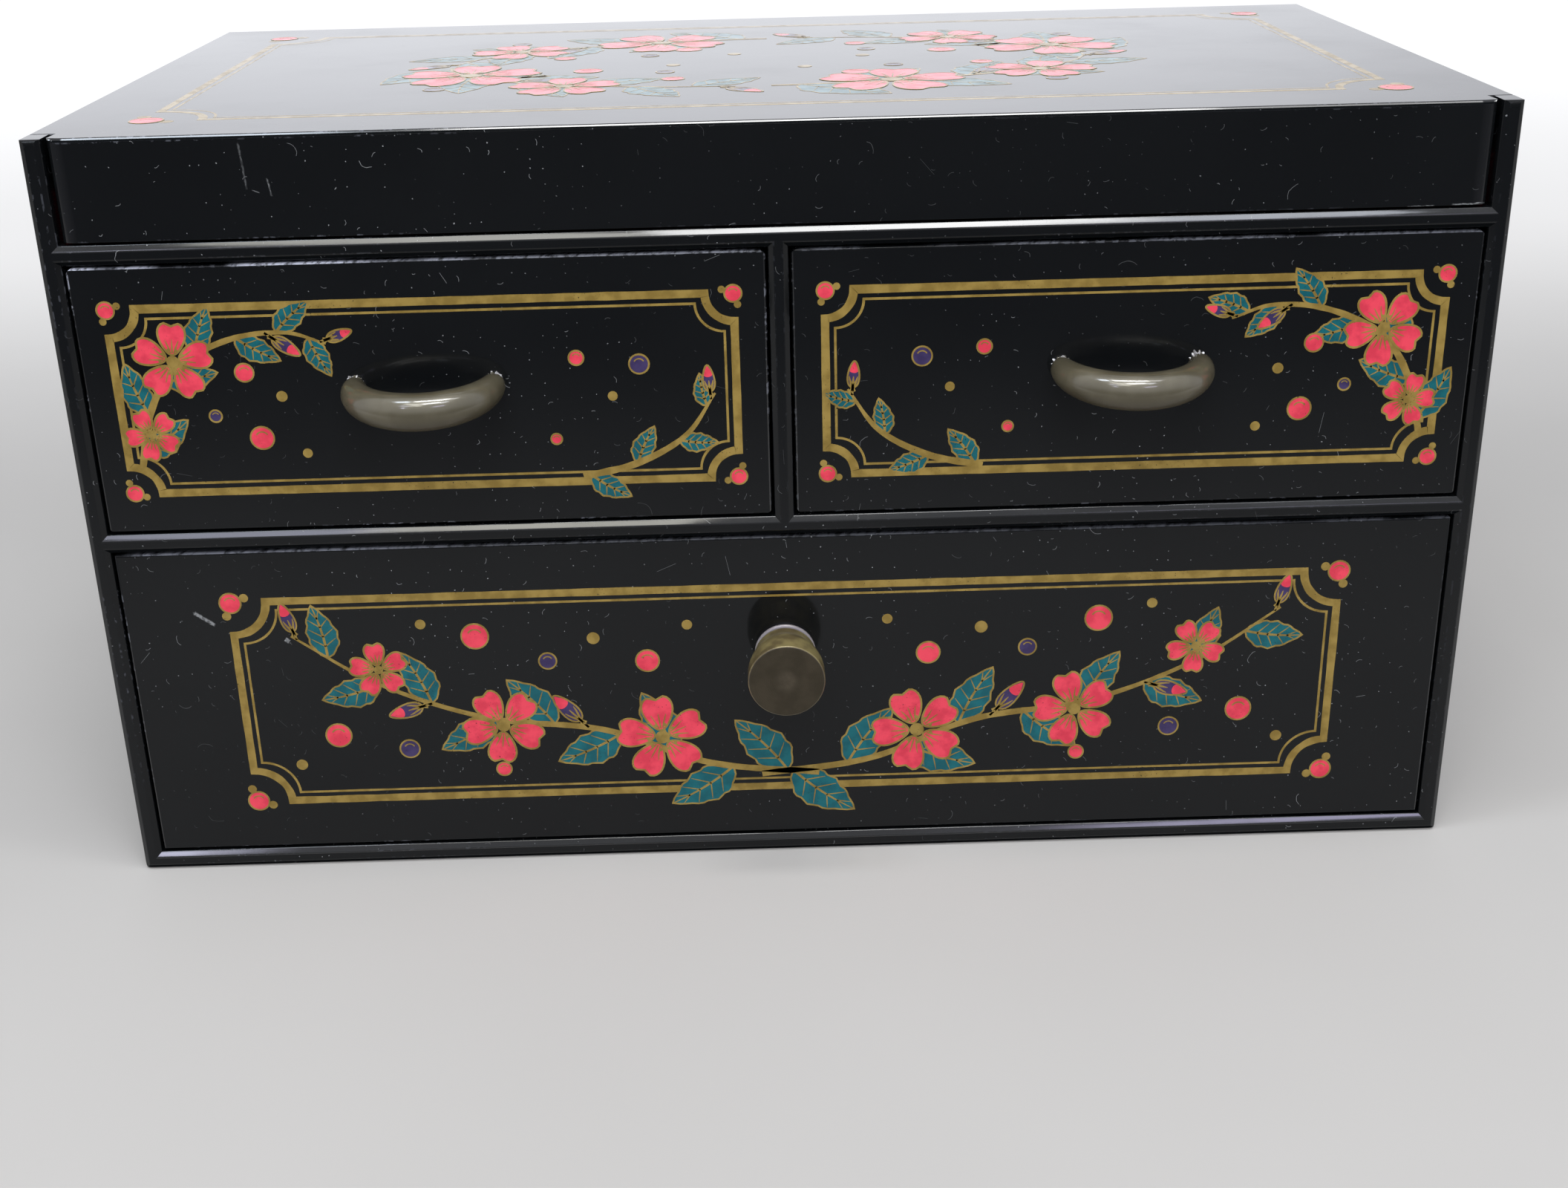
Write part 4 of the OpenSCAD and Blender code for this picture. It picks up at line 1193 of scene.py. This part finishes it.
def spray(panel, route, leaves, leaf_l, flowers, buds):
    """A flowering twig: leaves left and right along the route, flowers and buds at given shares of it."""
    path = smooth_route(route)
    panel.line("gold", path, taper(1.15, 0.35), TWIG_INK)

    def at(share):
        i = min(len(path) - 2, int(share * (len(path) - 1)))
        heading = path[i + 1] - path[i]
        return path[i], math.atan2(heading.y, heading.x)

    for n in range(leaves):
        share = 0.06 + 0.86 * n / max(1, leaves - 1)
        hand = 1 if n % 2 else -1
        root, heading = at(share)
        length = leaf_l * (1 - 0.30 * share)
        leaf(panel, root, length, 0.52 * length, heading + hand * math.radians(52), -hand * 0.16)
    for share, offset, size in flowers:
        root, heading = at(share)
        blossom(panel, turned((0, offset), root, heading), size, heading + share * 5)
    for share, hand, length in buds:
        root, heading = at(share)
        lean = heading + hand * math.radians(38)
        stalk = [turned((0.3 * length * t, 0), root, lean) for t in (0, 0.5, 1)]
        panel.line("gold", stalk, 0.4, TWIG_INK)
        bud(panel, stalk[-1], length, lean)


def mirrored(points, hand):
    """The points as they are, or with left and right swapped where hand is -1."""
    return [(hand * x, y) for x, y in points]


def front_panel(drawer):
    """A panel that covers a drawer's front, with its zero point in the middle."""
    low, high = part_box(drawer + "_front")
    middle = (low + high) / 2

    def place(u, v, lift):
        return Vector((middle.x + u * MM, low.y - lift, middle.z + v * MM))

    return Panel(drawer, drawer, place)


def print_upper_drawer(drawer, hand):
    """A twig that rises at the outer end and bends inwards, berries and a sprig; hand is the outer side."""
    panel = front_panel(drawer)
    notched_frame(panel, 49.5, 15.4, 4.6)
    route = mirrored([(47.5, -11), (45, -2), (40, 5.5), (31, 10), (22, 11), (15.5, 9)], hand)
    spray(panel, route, 7, 9.5, [(0.42, -1.0 * hand, 6.6), (0.14, 1.0 * hand, 4.6)],
          [(0.74, hand, 5.0), (0.98, -hand, 4.2)])
    drops = [(29, 4.6, 1.5, "coral"), (23.5, 0.5, 0.9, "gold"), (34.5, -2.5, 1.0, "violet"),
             (27.5, -6.4, 1.9, "coral"), (20.5, -9.2, 0.8, "gold"), (-24, 5.5, 1.2, "coral"),
             (-29.5, -1.0, 0.8, "gold"), (-34, 4.2, 1.6, "violet"), (-20, -8.0, 0.9, "coral")]
    for u, v, radius, ink in drops:
        berry(panel, (hand * u, v), radius, ink)
    sprig = mirrored([(-24, -14.6), (-33, -12.5), (-41, -8), (-46, -1)], hand)
    spray(panel, sprig, 4, 7.5, [], [(0.97, -hand, 4.4)])
    panel.finish()


def print_lower_drawer():
    """Two twigs that part below the knob and rise to the outer corners."""
    panel = front_panel("lower_drawer")
    notched_frame(panel, 93.5, 19.0, 6.0)
    for hand in (-1, 1):
        route = mirrored([(-5, -16.5), (14, -14), (32, -7), (52, -4), (70, 3), (84, 12.5)], hand)
        flowers = [(0.30, 2.0 * hand, 8.2), (0.58, -1.0 * hand, 7.4), (0.82, 2.5 * hand, 5.2)]
        spray(panel, route, 9, 13.5, flowers,
              [(0.44, hand, 6.5), (0.70, -hand, 6.0), (0.99, hand, 5.4)])
        drops = [(24, 6, 2.0, "coral"), (33, 10.5, 1.1, "gold"), (41, 6.5, 1.5, "violet"),
                 (53, 11.5, 2.3, "coral"), (62, 14, 0.9, "gold"), (66, -9.5, 1.7, "violet"),
                 (78, -6.5, 2.2, "coral"), (85, -12, 1.0, "gold"), (17, 12.5, 0.9, "gold"),
                 (50, -14, 1.3, "coral")]
        for u, v, radius, ink in drops:
            berry(panel, (hand * u, v), radius, ink)
    panel.finish()


def print_lid():
    """A wreath in a double gold line."""
    low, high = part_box("lid_top")
    y_mid = (low.y + high.y) / 2

    def place(u, v, lift):
        return Vector((u * MM, y_mid + v * MM, high.z + lift))

    panel = Panel("lid", "lid", place)
    notched_frame(panel, 100, 51, 9)
    half_w, half_h = 58, 31
    drops = [(0.62, 25, 2.6, "coral"), (0.50, 50, 1.6, "violet"), (0.72, 66, 2.0, "coral"),
             (1.30, 40, 1.8, "violet"), (0.32, 20, 1.3, "gold")]
    for start in (0, 90, 180, 270):
        ring = [(half_w * math.cos(math.radians(a)), half_h * math.sin(math.radians(a)))
                for a in range(start, start + 85, 14)]
        spray(panel, ring, 8, 19, [(0.25, 1.0, 13.0), (0.64, -1.5, 10.0)], [(0.45, 1, 9), (0.97, -1, 8)])
        for r, a, radius, ink in drops:
            turn = math.radians(start + a)
            berry(panel, (half_w * r * math.cos(turn), half_h * r * math.sin(turn)), radius, ink)
    panel.finish()


print_upper_drawer("left_drawer", -1)
print_upper_drawer("right_drawer", 1)
print_lower_drawer()
print_lid()


# Floor, light and camera

def make_floor():
    """A pale floor that glows, fading into white, behind the object; mirrored, its front part is dim."""
    half_w, front, back = 2.0, -1.8, 2.0
    z = -0.1 * MM
    corners = [(-half_w, front, z), (half_w, front, z), (half_w, back, z), (-half_w, back, z)]
    mesh = bpy.data.meshes.new("floor")
    mesh.from_pydata(corners, [], [(0, 1, 2, 3)])
    floor = add_object("floor", mesh)
    s = Shader("pale_floor", {"Specular IOR Level": 0.2, "Roughness": 0.7,
                              "Emission Color": (0.98, 0.985, 1.0, 1)})
    depth = s.split(s.coords["Object"])[1]
    reach = s.vector("LENGTH", s.coords["Object"], output="Value")
    ray = s.node("LightPath").outputs
    dim = s.times(ray["Is Glossy Ray"], s.ramp(depth, -0.14, -0.42))
    far = s.times(ray["Is Camera Ray"], s.ramp(reach, 0.34, 1.0))
    pale = s.tint(s.noise(0.12, 3.0), (0.55, 0.54, 0.525, 1), (0.61, 0.60, 0.585, 1))
    pale = s.tint(dim, pale, (0.10, 0.10, 0.11, 1))
    s.drive("Base Color", s.tint(far, pale, (0, 0, 0, 1)))
    # Painted glow: the floor glows more the further behind the object it lies
    s.drive("Emission Strength", s.blend(far, s.ramp(depth, 0.10, 0.46, 0.0, 0.42), 1.0))
    mesh.materials.append(s.material)


def make_world():
    """Pale surroundings, brightest behind the object, dim in front and below."""
    world = bpy.data.worlds.new("studio")
    bpy.context.scene.world = world
    world.use_nodes = True
    n = Nodes(world.node_tree)
    ray = n.node("LightPath").outputs
    heading = n.coords["Generated"]
    window = n.vector("DOT_PRODUCT", heading, (-0.06, 0.985, 0.16), "Value")
    bright = n.ramp(window, 0.80, 0.995, 0.56, 1.55)
    _, depth, height = n.split(heading)
    forward = n.ramp(depth, -0.75, 0.15, n.ramp(height, -0.05, 0.45, 0.22, 0.85), 1.0)
    mirrored_ray = n.math("ADD", ray["Is Glossy Ray"], ray["Is Transmission Ray"])
    lit = n.blend(mirrored_ray, 0.34, n.times(bright, forward))
    colour = n.tint(ray["Is Camera Ray"], (0.93, 0.945, 1.0, 1), (0.98, 0.985, 1.0, 1))
    sockets = n.tree.nodes["Background"].inputs
    n.tree.links.new(colour, sockets["Color"])
    n.tree.links.new(n.blend(ray["Is Camera Ray"], lit, 1.0), sockets["Strength"])


def add_light(name, place, target, size, watts, colour):
    """A rectangular light that faces its target."""
    data = bpy.data.lights.new(name, "AREA")
    data.shape = "RECTANGLE"
    data.size, data.size_y = size
    data.energy = watts
    data.color = colour
    light = add_object(name, data)
    light.location = place
    light.rotation_euler = (Vector(target) - Vector(place)).to_track_quat("-Z", "Y").to_euler()
    return light


def make_camera():
    """Camera where the photograph was taken, for an image of 2112 by 1600 pixels."""
    image_w, focal_px, sensor = 2112, 2595.6, 36.0
    yaw, pitch, roll = (math.radians(a) for a in (-0.653, 23.159, -1.434))
    place = Vector((-3.81, -364.03, 177.06)) * MM
    right = Vector((math.cos(yaw), math.sin(yaw), 0))
    ahead = Vector((-math.sin(yaw) * math.cos(pitch), math.cos(yaw) * math.cos(pitch), -math.sin(pitch)))
    up = right.cross(ahead)
    x_axis = math.cos(roll) * right + math.sin(roll) * up
    y_axis = math.cos(roll) * up - math.sin(roll) * right
    data = bpy.data.cameras.new("camera")
    data.sensor_width = sensor
    data.lens = focal_px / image_w * sensor
    data.clip_start = 0.01
    camera = add_object("camera", data)
    axes = Matrix((x_axis, y_axis, -ahead)).transposed().to_4x4()
    camera.matrix_world = Matrix.Translation(place) @ axes
    bpy.context.scene.camera = camera


make_floor()
make_world()
WHITE = (1.0, 1.0, 1.0)
PANE_Z = 0.95
PANES = (
    # name, place across and along, target (None for straight down), size, watts and colour; the front
    # edges' bevels mirror them
    ("blue_pane", -0.335, -0.194, None, (0.19, 0.12), 0.75, (0.80, 0.89, 1.0)),
    ("top_strip", 0.04, -0.194, None, (0.44, 0.10), 1.85, WHITE),
    ("top_right_pane", 0.35, -0.194, None, (0.18, 0.10), 0.22, WHITE),
    ("upper_window", 0.085, -0.473, (0, -0.066, 0.11), (0.30, 0.12), 1.3, WHITE),
    ("upper_left_pane", -0.21, -0.473, (0, -0.066, 0.11), (0.27, 0.12), 0.42, (1.0, 0.99, 0.92)),
    ("upper_right_pane", 0.32, -0.473, (0, -0.066, 0.11), (0.15, 0.12), 0.30, (0.86, 0.90, 1.0)),
    ("left_window", -0.165, -0.671, (0, -0.066, 0.06), (0.23, 0.12), 0.38, (1.0, 0.98, 0.88)),
    ("left_pane", -0.385, -0.671, (0, -0.066, 0.06), (0.20, 0.12), 0.24, (0.78, 0.80, 1.0)),
    ("far_left_pane", -0.50, -0.971, (0, -0.066, 0), (0.09, 0.10), 0.22, (0.78, 0.78, 1.0)),
    ("far_right_pane", 0.41, -0.971, (0, -0.066, 0), (0.32, 0.10), 0.46, (0.74, 0.70, 1.0)),
)
FILLS = (
    # name, place, target, size and watts; mirrors don't show them
    ("front_fill", (0, -0.95, 0.75), (0, -0.06, 0.06), (1.0, 0.8), 5.0),
    ("left_fill", (-0.70, -0.30, 0.50), (0, -0.02, 0.07), (0.35, 0.5), 1.0),
    ("right_fill", (0.75, -0.20, 0.45), (0, 0, 0.06), (0.5, 0.5), 0.7),
)
for name, x, y, target, size, watts, colour in PANES:
    add_light(name, (x, y, PANE_Z), target or (x, y, 0), size, watts, colour)
for fill in FILLS:
    add_light(*fill, WHITE).visible_glossy = False
make_camera()
bpy.context.scene.view_settings.view_transform = "Standard"
